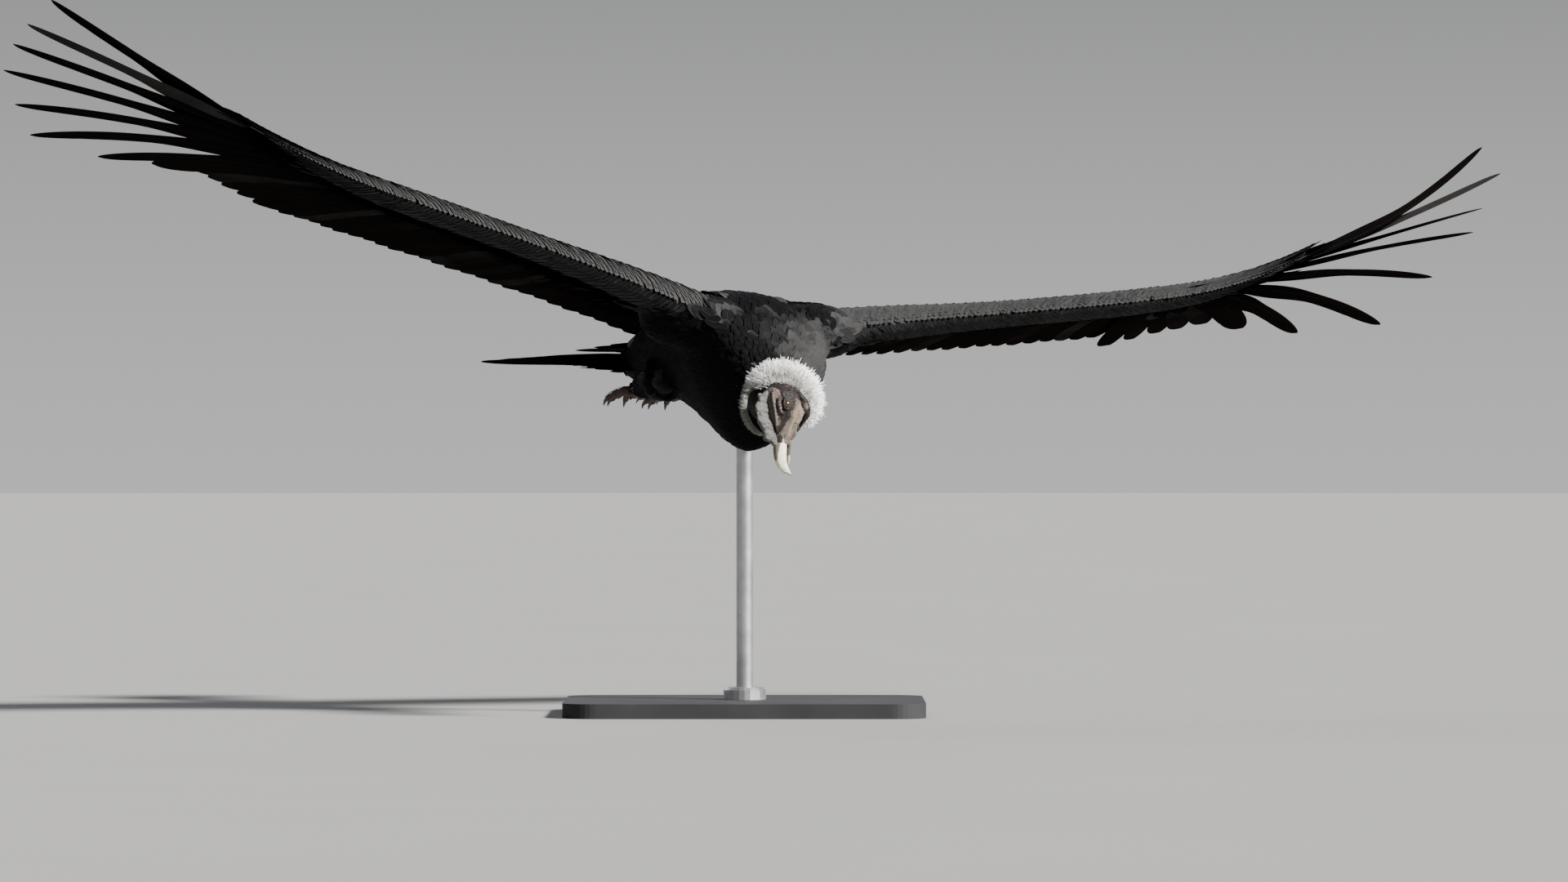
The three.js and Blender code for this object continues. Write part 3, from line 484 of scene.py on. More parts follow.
def vanes(line, up, lead, trail, side, rib, rim, camber, tilt, stations, patch_at, patch=(PATCH, PATCH),
          pale=None, tone_and_painted_shading=0.0):
    """Feathers as thin closed vanes on their shafts.

    line (n, rows, 3) is each shaft, up (n, rows, 3) the way its upper face looks, lead and trail
    (n, rows) the widths of its two webs. A section is a lens: over the stations c from 1 (right
    edge) to -1 (left edge) it stands at c times the web's width across, and at
    camber (1 - c^2) +- (rim + (rib - rim) (1 - |c|)^2) (1 - c^4) / 2 over the shaft's line.
    """
    n, rows = line.shape[:2]
    along = unit(np.gradient(line, axis=1))
    over = unit(up - along * dot(along, up))
    right = np.cross(along, over)
    turn = (-side * tilt)[:, None, None]
    right, over = right * np.cos(turn) - over * np.sin(turn), over * np.cos(turn) + right * np.sin(turn)
    c = np.asarray(stations, float)
    web = np.where((c > 0)[None, None, :] == (side > 0)[:, None, None], lead[..., None], trail[..., None])
    web = np.where(c == 0, 0, web) * c
    bend = camber[:, :, None] * (1 - c**2)
    half = (rim[:, None, None] + (rib - rim[:, None])[..., None] * (1 - np.abs(c)) ** 2) * (1 - c**4) / 2
    flat, over = line[:, :, None] + right[:, :, None] * web[..., None], over[:, :, None]
    ring = np.concatenate([flat + over * (bend + half)[..., None],
                           (flat + over * (bend - half)[..., None])[:, :, -2:0:-1]], 2)
    m = ring.shape[2]
    tip = line[:, -1] + along[:, -1] * np.maximum(lead[:, -1], trail[:, -1])[:, None] * 0.3
    root = line[:, 0] - along[:, 0] * 0.5
    points = np.concatenate([ring.reshape(n, -1, 3), root[:, None], tip[:, None]], 1)
    start = np.arange(n)[:, None, None] * points.shape[1]
    shape = Shape(points, *(np.roll(faces[:, ::-1], 1, 1) + start for faces in tube_faces(rows, m)))

    # Across and along in metres, and the feather's own patch of the unwrap
    def with_ends(values, root=0, tip=0):
        """Each feather's values on its rings, and those of its two end points."""
        return np.hstack([values, *(np.zeros((n, 1)) + v for v in (root, tip))])

    cc = np.concatenate([c, c[-2:0:-1]])
    s = np.hstack([np.zeros((n, 1)), np.cumsum(np.linalg.norm(np.diff(line, axis=1), axis=-1), 1)])
    wide = np.concatenate([web, web[:, :, -2:0:-1]], 2) * side[:, None, None]
    across = with_ends(wide.reshape(n, -1)) / 1000
    far = with_ends(np.repeat(s, m, 1), 0, s[:, -1:] * 1.01) / 1000
    share = far / np.maximum(far.max(1, keepdims=True), 1e-9)
    cross = with_ends(np.tile(cc, (n, rows)))
    bake = xyz(patch_at[:, None, 0] + cross * patch[0] / 2, patch_at[:, None, 1] + (share - 0.5) * patch[1])
    upper = with_ends(np.tile(np.r_[0, np.ones(len(c) - 2), np.zeros(m - len(c) + 1)], (n, rows)))
    values = {"share": share, "edge": np.abs(cross),
              "tone_and_painted_shading": np.zeros_like(share) + np.reshape(tone_and_painted_shading, (-1, 1)), "upper": upper,
              "pale": pale(share, cross, upper) if pale else np.zeros_like(share)}
    return {
        "shape": shape,
        "maps": {"OFBake": bake.reshape(-1, 2), "vane": xyz(across, far).reshape(-1, 2)},
        "values": {key: np.ravel(v) for key, v in values.items()},
        "rim": with_ends(np.tile(np.abs(cc) == 1, (n, rows)), 1, 1).ravel() > 0,
    }


def together(sets):
    """Several sets of vanes as one."""
    return {
        "shape": join([s["shape"] for s in sets]),
        "maps": {key: np.vstack([s["maps"][key] for s in sets]) for key in sets[0]["maps"]},
        "values": {key: np.concatenate([s["values"][key] for s in sets]) for key in sets[0]["values"]},
        "rim": np.concatenate([s["rim"] for s in sets]),
    }


def feather_piece(name, sets, paint, slot, *nodes):
    return piece(name, mesh_of(name, **together(sets)), paint, slot, *nodes)


class Wing:
    """A wing's bones: the place of its leading edge and the ways out, back and up, every 10 mm of the
    way from the root to the end of the hand."""

    def __init__(self, side, root_lift, lift, hand_back, incidence, twist, roll, curl, raised):
        self.side, self.lift, self.hand_back, self.incidence = side, lift, hand_back, incidence
        self.twist, self.roll, self.curl, self.raised = twist, roll, curl, raised
        self.d = np.arange(ROOT_INSIDE, HAND_END + 10.1, 10.0)

        def direction(d):
            t = self.stretch(d)
            rise = np.radians(smooth(RISE, t) + root_lift + (lift - root_lift) * np.maximum(t, 0))
            back = np.radians(smooth(SWEEP, t) + hand_back * np.maximum(0, 3 * t - 2))
            return xyz(side * np.cos(rise) * np.cos(back), np.cos(rise) * np.sin(back), np.sin(rise))

        self.out = direction(self.d)
        first = np.array(SHOULDER_JOINT, float) * (side, 1, 1) + direction(np.zeros(1))[0] * ROOT_INSIDE
        self.place = first + np.vstack([np.zeros(3), np.cumsum(self.out[:-1] * 10, 0)])
        back = unit(np.array([0, 1.0, 0]) - self.out * self.out[:, 1:2])
        turn = -side * math.radians(incidence)
        self.back = back * math.cos(turn) + np.cross(self.out, back) * math.sin(turn)
        self.up = np.cross(self.out, self.back) * side

    @staticmethod
    def stretch(d):
        """Shoulder, elbow, wrist and hand's end as 0, 1/3, 2/3 and 1."""
        return np.interp(d, [ROOT_INSIDE, 0, ELBOW, WRIST, HAND_END],
                         [ROOT_INSIDE / ELBOW / 3, 0, 1 / 3, 2 / 3, 1])

    def at(self, key, d):
        return xyz(*(np.interp(d, self.d, axis) for axis in getattr(self, key).T))

    def chord(self, d):
        return smooth(CORE_CHORD, self.stretch(d))

    def depth(self, d):
        return smooth(CORE_DEPTH, self.stretch(d))

    def inside(self, d, chord, height):
        """A point in the arm: at a share of its chord from the front, and of its depth over the chord."""
        go = self.at("back", d) * (chord * self.chord(d))[..., None]
        return self.at("place", d) + go + self.at("up", d) * (height * self.depth(d))[..., None]

    def skin(self, x, face):
        """The arm's section over its chord line, in shares of its depth, face 1 above and -1 below."""
        x = np.clip(x, 0, 1)
        half = 1.48 * np.sqrt(x) - 0.63 * x - 1.76 * x**2 + 1.42 * x**3 - 0.51 * x**4
        return face * half + 0.5 * x * (1 - x)

    def sheet(self, d, s, angle, face, over):
        """A point at s back from the leading edge along feathers at an angle from the way out: on the
        arm's skin or on the vanes behind it, whichever stands further out, and over it by a little."""
        chord, depth = self.chord(d), self.depth(d)
        a = np.radians(angle)
        x = s * np.sin(a) / chord
        u = np.maximum(0, s - chord / 2)
        plane = 0.08 * depth + u * math.tan(math.radians(1)) - u**2 * math.tan(math.radians(6)) / 700
        arm = np.where(x < 1, depth * self.skin(x, face), -1e3 * face)
        fade = step(x, 0.55, 1.0)
        vane = np.where(x > 0.5, plane + face * 2.0, -1e3 * face)
        height = np.maximum(arm, vane) if face > 0 else np.minimum(arm, vane)
        go = self.at("back", d) * np.sin(a)[..., None] + self.at("out", d) * np.cos(a)[..., None]
        height = height + face * over * (0.4 + 0.6 * fade)
        return self.at("place", d) + go * s[..., None] + self.at("up", d) * height[..., None]

    def sheet_up(self, d, s, angle, face):
        """The way the sheet looks: square to its slope over 5 mm and to the way out."""
        s = np.maximum(s, 0.6)
        slope = self.sheet(d, s + 3, angle, face, 0) - self.sheet(d, np.maximum(s - 2, 0.1), angle, face, 0)
        look = np.cross(self.at("out", d), unit(slope)) * self.side
        return unit(look * np.sign(dot(look, self.at("up", d) * face)))

    def primary_place(self, i):
        return lerp(WRIST + 14, HAND_END - 14, (np.asarray(i, float) / (PRIMARIES - 1)) ** 0.9)

    def primary_angle(self, i):
        t = np.asarray(i, float) / (PRIMARIES - 1)
        return smooth(PRIMARY_ANGLE, t) + self.hand_back * smooth(HAND_SHARE, t)

    def hand_rise(self, angle):
        return self.lift + self.twist * np.sin(np.radians(angle))

    def heading(self, angle, rise):
        """Direction of a feather from its angle back from straight out, and its rise."""
        a, e = np.radians(angle), np.radians(rise)
        return xyz(self.side * np.cos(a) * np.cos(e), np.sin(a) * np.cos(e), np.sin(e))


ROWS_OF_FLIGHT = 30
ACROSS_OF_FLIGHT = [1, 0.72, 0.42, 0.16, 0, -0.12, -0.35, -0.6, -0.82, -1]


def flight_feathers(side, root, start, end, normal, length, lead, trail, tilt, thick, narrow, strip, seed,
                    pale=None):
    """Long vanes: web = width (0.5 + 0.5 min(1, t / 0.3)) taper(t) sqrt(1 - t^p), with the taper of an
    outer primary falling between t = 0.35 and 0.6, and small splits along the edges."""
    rng = np.random.default_rng(seed)
    n = len(root)
    widths = (np.zeros(n) + v for v in (side, lead, trail, tilt, thick, narrow))
    side, lead, trail, tilt, thick, narrow = widths
    t = 1 - (1 - np.linspace(0, 1, ROWS_OF_FLIGHT)) ** 1.7
    line = turning(root, start, end, length, t)
    taper = lerp(1, narrow[:, None], step(t, 0.35, 0.6)[None])
    spread = (0.5 + 0.5 * np.minimum(1, t / 0.3)) * taper * np.sqrt(np.maximum(0.015, 1 - t ** 9))
    notch = np.sin(t * (31 + 9 * rng.random((n, 1))) + rng.random((n, 1)) * 9)
    notch = notch * np.sin(t * 83 + rng.random((n, 1)) * 9)
    ragged = 1 - 0.035 * np.maximum(notch, 0.2) * step(t, 0.3, 0.8)
    rib = lerp(thick[:, None], 1.1, t[None])
    camber = -0.035 * (lead + trail)[:, None] * spread
    up = np.repeat(normal[:, None], len(t), 1)
    at = xyz(strip[0] + (np.arange(n) + 0.5) / n * strip[1], strip[2])
    width = (strip[1] / n * 0.86, strip[3])
    return vanes(line, up, lead[:, None] * spread, trail[:, None] * spread * ragged, side, rib,
                 np.full(n, 0.9), camber,
                 np.radians(tilt), ACROSS_OF_FLIGHT, at, width, pale, rng.normal(size=n))


def secondaries(wing, seed):
    i = np.linspace(0, SECONDARIES - 1, SECONDARIES + 6)
    t = i / (SECONDARIES - 1)
    d, angle = lerp(WRIST - 12, 24, t), lerp(*SECONDARY_ANGLE, t)

    def pale(share, cross, upper):
        """White panels: the outer web of each secondary from its root to near its tip, on its upper face."""
        outer = np.clip(cross * wing.side * 4 + 0.7, 0, 1)
        return upper * outer * (1 - step(share, 0.8, 0.86)) * step(t, -0.04, 0.02)[:, None]

    start, end = wing.heading(angle, 1 - wing.incidence), wing.heading(angle + 2, -5 - wing.incidence)
    length = lerp(*SECONDARY_LENGTH, t) + 5 * np.sin(i * 2.1)
    return flight_feathers(wing.side, wing.inside(d, 0.5, 0.08), start, end, wing.at("up", d), length,
                           20, 36, 3.2, 3.4, 1, (0.02, 0.6, 0.25, 0.4), seed, pale)


def primaries(wing, seed):
    """The ten primaries, and thinner ones between the inner three, which close the wing there."""
    i = np.concatenate([[-0.5, 0, 0.5, 1, 1.5, 2, 2.45], np.arange(3, PRIMARIES)])
    tables = (PRIMARY_START, PRIMARY_END, PRIMARY_LENGTH, wing.raised)
    start, end, length, raised = (np.interp(i, np.arange(PRIMARIES), table) for table in tables)
    d = wing.primary_place(np.maximum(i, 0)) + 18 * np.minimum(i, 0)
    angle = wing.primary_angle(np.maximum(i, 0))
    fingered = i >= 3
    extra = wing.hand_rise(angle) + raised
    curl = wing.curl * np.maximum(0, (i - 6) / 3) ** 2
    roll = lerp(9, wing.roll, step(i, 6, 7.5))

    def pale(share, cross, upper):
        outer = np.clip(cross * wing.side * 4 + 0.7, 0, 1)
        return upper * outer * (1 - step(share, 0.42, 0.6)) * np.clip(1 - i / 5, 0, 1)[:, None]

    start = wing.heading(angle, start + extra - curl)
    end = wing.heading(angle + 4, end + extra + 2.5 * curl)
    lead, trail, narrow = (np.where(fingered, *pair) for pair in ((16, 20), (38, 40), (0.62, 0.9)))
    return flight_feathers(wing.side, wing.inside(d, 0.5, 0), start, end, wing.at("up", d), length, lead,
                           trail, roll,
                           np.where(i % 1 == 0, 6, 3), narrow, (0.64, 0.34, 0.25, 0.4), seed, pale)


def short_vanes(root, middle, tip, up0, up1, width, side, patch_at, tone_and_painted_shading, rows=6, tilt=0.08, round_tip=3.0,
                thick=1.2, across=(1, 0.5, 0, -0.5, -1), pale=None, lift=0.0, base=0.45):
    """Coverts and contour feathers: shafts on quadratic curves, and webs of width times
    (base + (1 - base) min(1, t / 0.35)) sqrt(1 - t^p), so that they end round."""
    n = len(root)
    t = 1 - (1 - np.linspace(0, 1, rows)) ** 1.5
    up = unit(up0[:, None] * (1 - t)[None, :, None] + up1[:, None] * t[None, :, None])
    spread = (base + (1 - base) * np.minimum(1, t / 0.35)) * np.sqrt(np.maximum(0.02, 1 - t**round_tip))
    web = (np.zeros(n) + width)[:, None] / 2 * spread[None]
    rib = np.broadcast_to(lerp(thick, 0.5, t)[None], (n, rows))
    return vanes(bezier(root, middle, tip, t), up, web * 0.92, web * 1.08, np.zeros(n) + side, rib,
                 np.full(n, 0.5),
                 -0.08 * web * 2 + lift, np.full(n, tilt), across, patch_at, pale=pale, tone_and_painted_shading=tone_and_painted_shading)


# Rows of coverts: how many along the arm, where each row is rooted in shares of the chord, how long and
# how wide its feathers are, how pale it is on the upper side, and how far it stands over what is under it
UPPER_ROWS = [
    (21, 0.62, 152, 46, 0.9, 3.5),
    (26, 0.50, 104, 38, 0.75, 5.0),
    (30, 0.40, 74, 31, 0.0, 5.5),
    (33, 0.30, 62, 27, 0.0, 5.5),
    (36, 0.21, 52, 24, 0.0, 5.0),
    (40, 0.13, 44, 21, 0.0, 4.5),
    (46, 0.065, 40, 22, 0.0, 3.0),
    (52, 0.032, 36, 19, 0.0, 2.6),
    (58, 0.012, 33, 15, 0.0, 2.0),
    (68, 0.001, 30, 13, 0.0, 1.4),
]
LOWER_ROWS = [
    (34, 0.64, 205, 42, 0, 3.0),
    (26, 0.58, 136, 44, 0, 4.0),
    (26, 0.46, 98, 38, 0, 4.5),
    (30, 0.34, 70, 31, 0, 4.5),
    (33, 0.24, 56, 27, 0, 4.5),
    (36, 0.15, 46, 23, 0, 4.0),
    (42, 0.075, 40, 22, 0, 3.0),
    (50, 0.035, 36, 19, 0, 2.6),
    (56, 0.012, 32, 15, 0, 2.0),
    (68, 0.001, 30, 13, 0, 1.4),
]
HAND_FRONT = [
    (20, 0.30, 56, 24, 0, 4.5),
    (26, 0.15, 46, 21, 0, 4.5),
    (28, 0.065, 40, 20, 0, 3.0),
    (30, 0.032, 36, 18, 0, 2.6),
    (32, 0.012, 33, 14, 0, 2.0),
    (40, 0.001, 30, 13, 0, 1.4),
]


def arm_coverts(wing, rows, face, seed, reach=(WRIST - 4, -26)):
    """Tiers of coverts along the arm, or along the hand's front where reach says so, each vane lying
    on the sheet from its root to its tip. The rows at the leading edge point outwards along the wing."""
    sets = []
    for k, (count, chord, length, width, pale_share, over) in enumerate(rows):
        rng = np.random.default_rng(seed + k)
        t = (np.arange(count) + 0.5 + 0.5 * (k % 2)) / count
        t = np.clip(t + rng.normal(size=count) * 0.12 / count, 0, 1)
        d = lerp(*reach, t)
        on_hand = np.clip((d - WRIST - 14) / (HAND_END - WRIST - 28), 0, 1) ** (1 / 0.9) * (PRIMARIES - 1)
        angle = np.where(d > WRIST, wing.primary_angle(on_hand), lerp(*SECONDARY_ANGLE, t))
        angle = angle + rng.normal(size=count) * 1.2
        size = length * (1 + 0.05 * rng.normal(size=count))
        angle = np.maximum(angle * (0.5 if chord < 0.1 else 0.8 if chord < 0.2 else 1), 24)
        s0 = chord * wing.chord(d) / np.sin(np.radians(angle))
        root, middle, tip = (
            wing.sheet(d, s0 + size * share, angle, face, stand)
            for share, stand in ((0, -1.5), (0.5, over * 1.2), (1, over * 0.75))
        )
        up0, up1 = (wing.sheet_up(d, s0 + size * share, angle, face) for share in (0.15, 0.8))
        width = width * (1 + 0.06 * rng.normal(size=count))
        # Painted light: the rows at the leading edge are made lighter grey, more on the right wing than on
        # the left; the rest varies at random
        tone_and_painted_shading = rng.normal(size=count) * 0.6 + (3.0 - 0.9 * wing.side) * (chord < 0.1) + 1.0 * (chord < 0.2)
        long = length > 90
        sets.append(short_vanes(
            root, 2 * middle - (root + tip) / 2, tip, up0, up1, width, wing.side * face,
            xyz(0.03 + 0.6 * (1 - t), 0.1 + 0.1 * k), tone_and_painted_shading, rows=7 if long else 6,
                                thick=1.6 if long else 1.1,
            base=0.75 if chord < 0.01 else 0.4,
            pale=lambda share, cross, upper, p=pale_share: p * (1 - 0.35 * step(share, 0.9, 1.0))))
    return sets


def hand_coverts(wing, rows, face, seed):
    """Tiers of coverts in the hand: each lies along the primaries under it, from the angle and rise that
    run smoothly from one primary to the next."""
    sets = []
    for k, (count, chord, height, length, width, pitch) in enumerate(rows):
        rng = np.random.default_rng(seed + k)
        t = (np.arange(count) + 0.5) / count
        i = t * (PRIMARIES - 1.2)
        d = wing.primary_place(i)
        angle = wing.primary_angle(i) + rng.normal(size=count)
        rise = smooth(PRIMARY_START, i / (PRIMARIES - 1)) + wing.hand_rise(angle)
        size = length * (1 - 0.25 * t) * (1 + 0.05 * rng.normal(size=count))
        root = wing.inside(d, chord, height)
        start, end = wing.heading(angle, rise + pitch * face), wing.heading(angle + 3, rise - 3 * face - 1)
        up = wing.at("up", d) * face
        width = width * (1 + 0.06 * rng.normal(size=count))
        # Painted light: the rows at the leading edge are made lighter grey; the rest varies at random
        tone_and_painted_shading = rng.normal(size=count) + 2.6 * (chord < 0.12)
        long = length > 90
        sets.append(short_vanes(
            root, *bent(root, start, end, size), up, up, width, wing.side * face,
                                xyz(0.66 + 0.3 * t, 0.1 + 0.1 * k),
            tone_and_painted_shading, rows=7 if long else 6, thick=1.6 if long else 1.1))
    return sets


UPPER_HAND = [
    (10, 0.54, 0.30, 168, 40, 1.5),
    (11, 0.44, 0.42, 118, 34, 2.5),
    (14, 0.32, 0.5, 84, 27, 3.0),
    (17, 0.2, 0.5, 62, 22, 3.0),
    (20, 0.1, 0.38, 48, 18, 3.0),
    (24, 0.02, 0.15, 38, 15, 2.5),
]
LOWER_HAND = [
    (10, 0.54, -0.22, 142, 40, 3.0),
    (11, 0.42, -0.3, 98, 33, 3.0),
    (14, 0.3, -0.34, 72, 26, 3.0),
    (17, 0.18, -0.32, 54, 21, 3.0),
    (20, 0.08, -0.2, 42, 17, 2.5),
]
ALULA = [(716, 140, 20), (724, 118, 17), (732, 96, 13), (742, 70, 11)]


def alula(wing, seed):
    """The thumb's feathers, a little above the leading edge and spread from it."""
    rng = np.random.default_rng(seed)
    d, length, angle = (np.array(v, float) for v in zip(*ALULA))
    angle = angle + wing.hand_back
    start, end = wing.heading(angle, 9 + wing.lift), wing.heading(angle + 8, 12 + wing.lift)
    root, up = wing.inside(d, 0.12, 0.3), wing.at("up", d)
    return short_vanes(root, *bent(root, start, end, length), up, up, 27, wing.side,
                       xyz(np.linspace(0.7, 0.8, len(d)), 0.95), rng.normal(size=len(d)), rows=8, tilt=0.2,
                       thick=2.5)


def trunk(grow):
    t = np.linspace(0, 1, 40)
    y, half, top, low = smooth(TRUNK, t).T
    rings = egg_rings(y, half, low, top, 48, grow, KEEL)
    return loft(rings, (0, y[0] - 14 - grow, (top[0] + low[0]) / 2),
                (0, y[-1] + 16 + grow, (top[-1] + low[-1]) / 2))


def arm(wing, grow):
    """The arm's section carried out along the wing: x = (1 + cos) / 2 along the chord, and over it the
    section's height on the side that sin gives."""
    d = np.linspace(ROOT_INSIDE, HAND_END - 20, 56)
    turn = turns(28)
    x = (1 + np.cos(turn)) / 2
    high = wing.skin(x, 1) * (np.sin(turn) >= 0) + wing.skin(x, -1) * (np.sin(turn) < 0)
    chord, depth = wing.chord(d) + grow, np.maximum(wing.depth(d) + 2 * grow, 3)
    back, rise = chord[:, None] * x - grow / 2, depth[:, None] * high
    place, aft, up = (wing.at(key, d)[:, None] for key in ("place", "back", "up"))
    rings = place + aft * back[..., None] + up * rise[..., None]
    return loft(rings, rings[0].mean(0), rings[-1].mean(0) + wing.out[-1] * 4)


def neck(grow=0.0):
    t = np.linspace(0, 1, 70)
    fold = 1.6 * np.sin(t * NECK_FOLDS * 2 * math.pi) + 0.8 * np.sin(t * 31)
    return carried(through(NECK_PATH, t), smooth(NECK_RADII, t) + fold + grow, 44)


def body_skin(coat, wings):
    """Trunk, shoulders, arms, thighs and rump, each inside its solid by the coat's depth, as one skin."""
    shoulders = [ball(over_to(s, SHOULDER_PLACE), np.array(SHOULDER_SIZE) - coat) for s in (-1, 1)]
    thighs = [rope(over_to(s, LEG_LINE), np.array(LEG_RADII) - [coat, coat, 4, 1], 24, 20) for s in (-1, 1)]
    rump = ball((0, TAIL_ROOT[1] + 12, TAIL_ROOT[2]), (28, 92, 18))
    arms = [arm(wing, -4) for wing in wings.values()]
    whole = fused(join([trunk(-coat), *shoulders, *arms, *thighs, rump]), 7.6)
    return relaxed(whole, 6)


# Folds of the head's skin on its left, their radii, and how many rings and sides each has
CHEEK_FOLDS = [
    # the ring of loose skin round the lids, open at the back
    ([(21, -22, 12), (24.5, -14, 21), (24, -1, 24), (22, 11, 20)], [1.8, 3.0, 3.2, 1.8], 14, 10),
    ([(21.5, -23, 2), (26, -13, -6), (28.5, 0, -7), (27, 12, -1)], [1.6, 2.8, 3.0, 1.6], 14, 10),
    # the cheek's long folds, from the gape back to the ear
    ([(19, -28, -21), (26, -8, -22), (26.5, 10, -17)], [2.6, 5.0, 3.6], 14, 10),
    ([(15, -34, -26), (21, -14, -31), (22, 8, -30), (18, 22, -24)], [2.4, 4.0, 4.4, 2.6], 14, 10),
    ([(27, 3, -13), (29, 14, -12), (27, 25, -8)], [2.0, 3.2, 2.2], 14, 10),
    # the jowl, two loose folds that run from under the ear to the throat
    ([(22, 26, -24), (26.4, 10, -33), (19.6, -7, -42.6), (8, -24, -43)], [3.4, 7.4, 8.0, 3.6], 18, 12),
    ([(20, 30, -16), (27, 20, -24), (26, 4, -30)], [2.6, 4.4, 2.4], 14, 10),
    # the rim of the ear's opening
    ([(27, 17, -4), (28.5, 21, 1), (27, 25, 4), (24, 27, 0)], [1.6, 2.0, 2.0, 1.4], 14, 10),
    # the lobe at the corner of the bill
    ([(10, -56, -22), (14, -46, -25), (15, -36, -26)], [2.0, 3.6, 2.4], 14, 10),
]
# The low ridge between comb and brow
BROW_FOLD = ([(9, -50, 14), (14, -34, 20), (17, -14, 27), (15, 6, 31), (11, 22, 28)],
             [1.6, 2.6, 3.0, 2.8, 1.6], 14, 10)
# The wattle: a doubled pleat from the chin down the throat
WATTLE = [
    ([(0, -46, -26), (1, -28, -40), (-1, -2, -49), (0, 22, -44)], [3.4, 7.0, 9.0, 5.0], 20, 14),
    ([(-5, -34, -33), (-6, -16, -44), (-5, 4, -50)], [2.2, 4.2, 3.0], 14, 10),
    ([(5, -30, -35), (6.5, -10, -47), (5, 12, -50)], [2.2, 4.4, 3.2], 14, 10),
]
# The lids' turns round the eye, and their radii
LIDS = [([-8, 40, 90, 140, 188], [1.4, 2.4, 2.9, 2.4, 1.4]),
        ([172, 220, 270, 320, 368], [1.2, 2.0, 2.2, 2.0, 1.2])]
# The folds across the nape: each one's place along the head, half width and radius
NAPE_FOLDS = [(20, 30, 2.6), (27, 24.5, 3.0), (34, 19, 2.6)]


def head_flesh():
    """The head's shell with lids, brows, cheek and throat folds, the nape's folds and the lobes under
    the bill, in the head's own frame."""
    y, half, low, high = smooth(HEAD, np.linspace(0, 1, 40)).T
    parts = [loft(egg_rings(y, half, low, high, 40), (0, HEAD[0][0] + 7, 2), (0, HEAD[-1][0] - 2, -7))]
    for side in (-1, 1):
        for around, radii in LIDS:
            a = np.radians(around)
            lid = xyz(3.4 - 1.2 * np.abs(np.cos(a)), 10.4 * np.cos(a), 7.6 * np.sin(a)) + EYE_PLACE
            parts.append(rope(over_to(side, lid), radii, 18, 10))
        parts += [rope(over_to(side, line), *sizes) for line, *sizes in CHEEK_FOLDS]
    parts += [rope(*fold) for fold in WATTLE]
    a = np.radians(np.arange(-150, -391, -40))
    for y, half, size in NAPE_FOLDS:
        line = xyz(half * np.cos(a), y + 2 * np.sin(3 * a), 2 + half * 1.02 * np.sin(-a))
        parts.append(rope(line, [0.8, size, size * 0.8, size, size * 0.8, size, 0.8], 30, 10))
    parts += [rope(over_to(side, BROW_FOLD[0]), *BROW_FOLD[1:]) for side in (-1, 1)]
    return join(parts)


def wrinkled(shape):
    """The fused flesh pushed in and out: h = fine ripples + crossing creases and warts behind the bill,
    with a slit for the mouth and hollows for the ears and nostrils. Points are in the bird's frame."""
    p = to_head(shape.points)
    n = vertex_normals(shape)
    crease = 1 - np.abs(ripple(shape.points, 9.0, 5)) * 2
    fine = ripple(shape.points, 3.2, 8)
    wart = np.maximum(ripple(shape.points, 4.6, 11), 0) ** 2
    back = step(p[:, 1], -40, -10)
    height = 0.22 * fine + 0.5 * np.clip(crease, -1, 1) * back + 0.7 * wart * step(p[:, 2], 4, 22) * back
    half = np.column_stack([np.abs(p[:, 0]), p[:, 1:]])
    eye_far = np.linalg.norm(half - EYE_PLACE, axis=1)
    height *= step(eye_far, EYE_RADIUS + 1, EYE_RADIUS + 6)
    # radial creases from the corners of the eye
    turn = np.arctan2(p[:, 2] - EYE_PLACE[2], p[:, 1] - EYE_PLACE[1])
    ring = np.exp(-(((eye_far - 16) / 6) ** 2))
    height += 0.45 * ring * np.sin(turn * 17 + eye_far * 0.35)
    slit = np.exp(-(((p[:, 2] - MOUTH_HEIGHT) / 1.1) ** 2))
    slit = slit * (1 - step(p[:, 1], -32, -26)) * (np.abs(p[:, 0]) > 3)
    ear = np.exp(-((np.linalg.norm(half - (26, 22, 0), axis=1) / 2.6) ** 2))
    nostril = np.exp(-(((p[:, 1] + 59) / 5.0) ** 2) - (((p[:, 2] + 2) / 1.7) ** 2)) * (np.abs(p[:, 0]) > 6)
    height = height - 2.6 * slit - 3.2 * ear - 3.6 * nostril
    return Shape(shape.points + n * height[:, None], shape.quads, shape.tris)


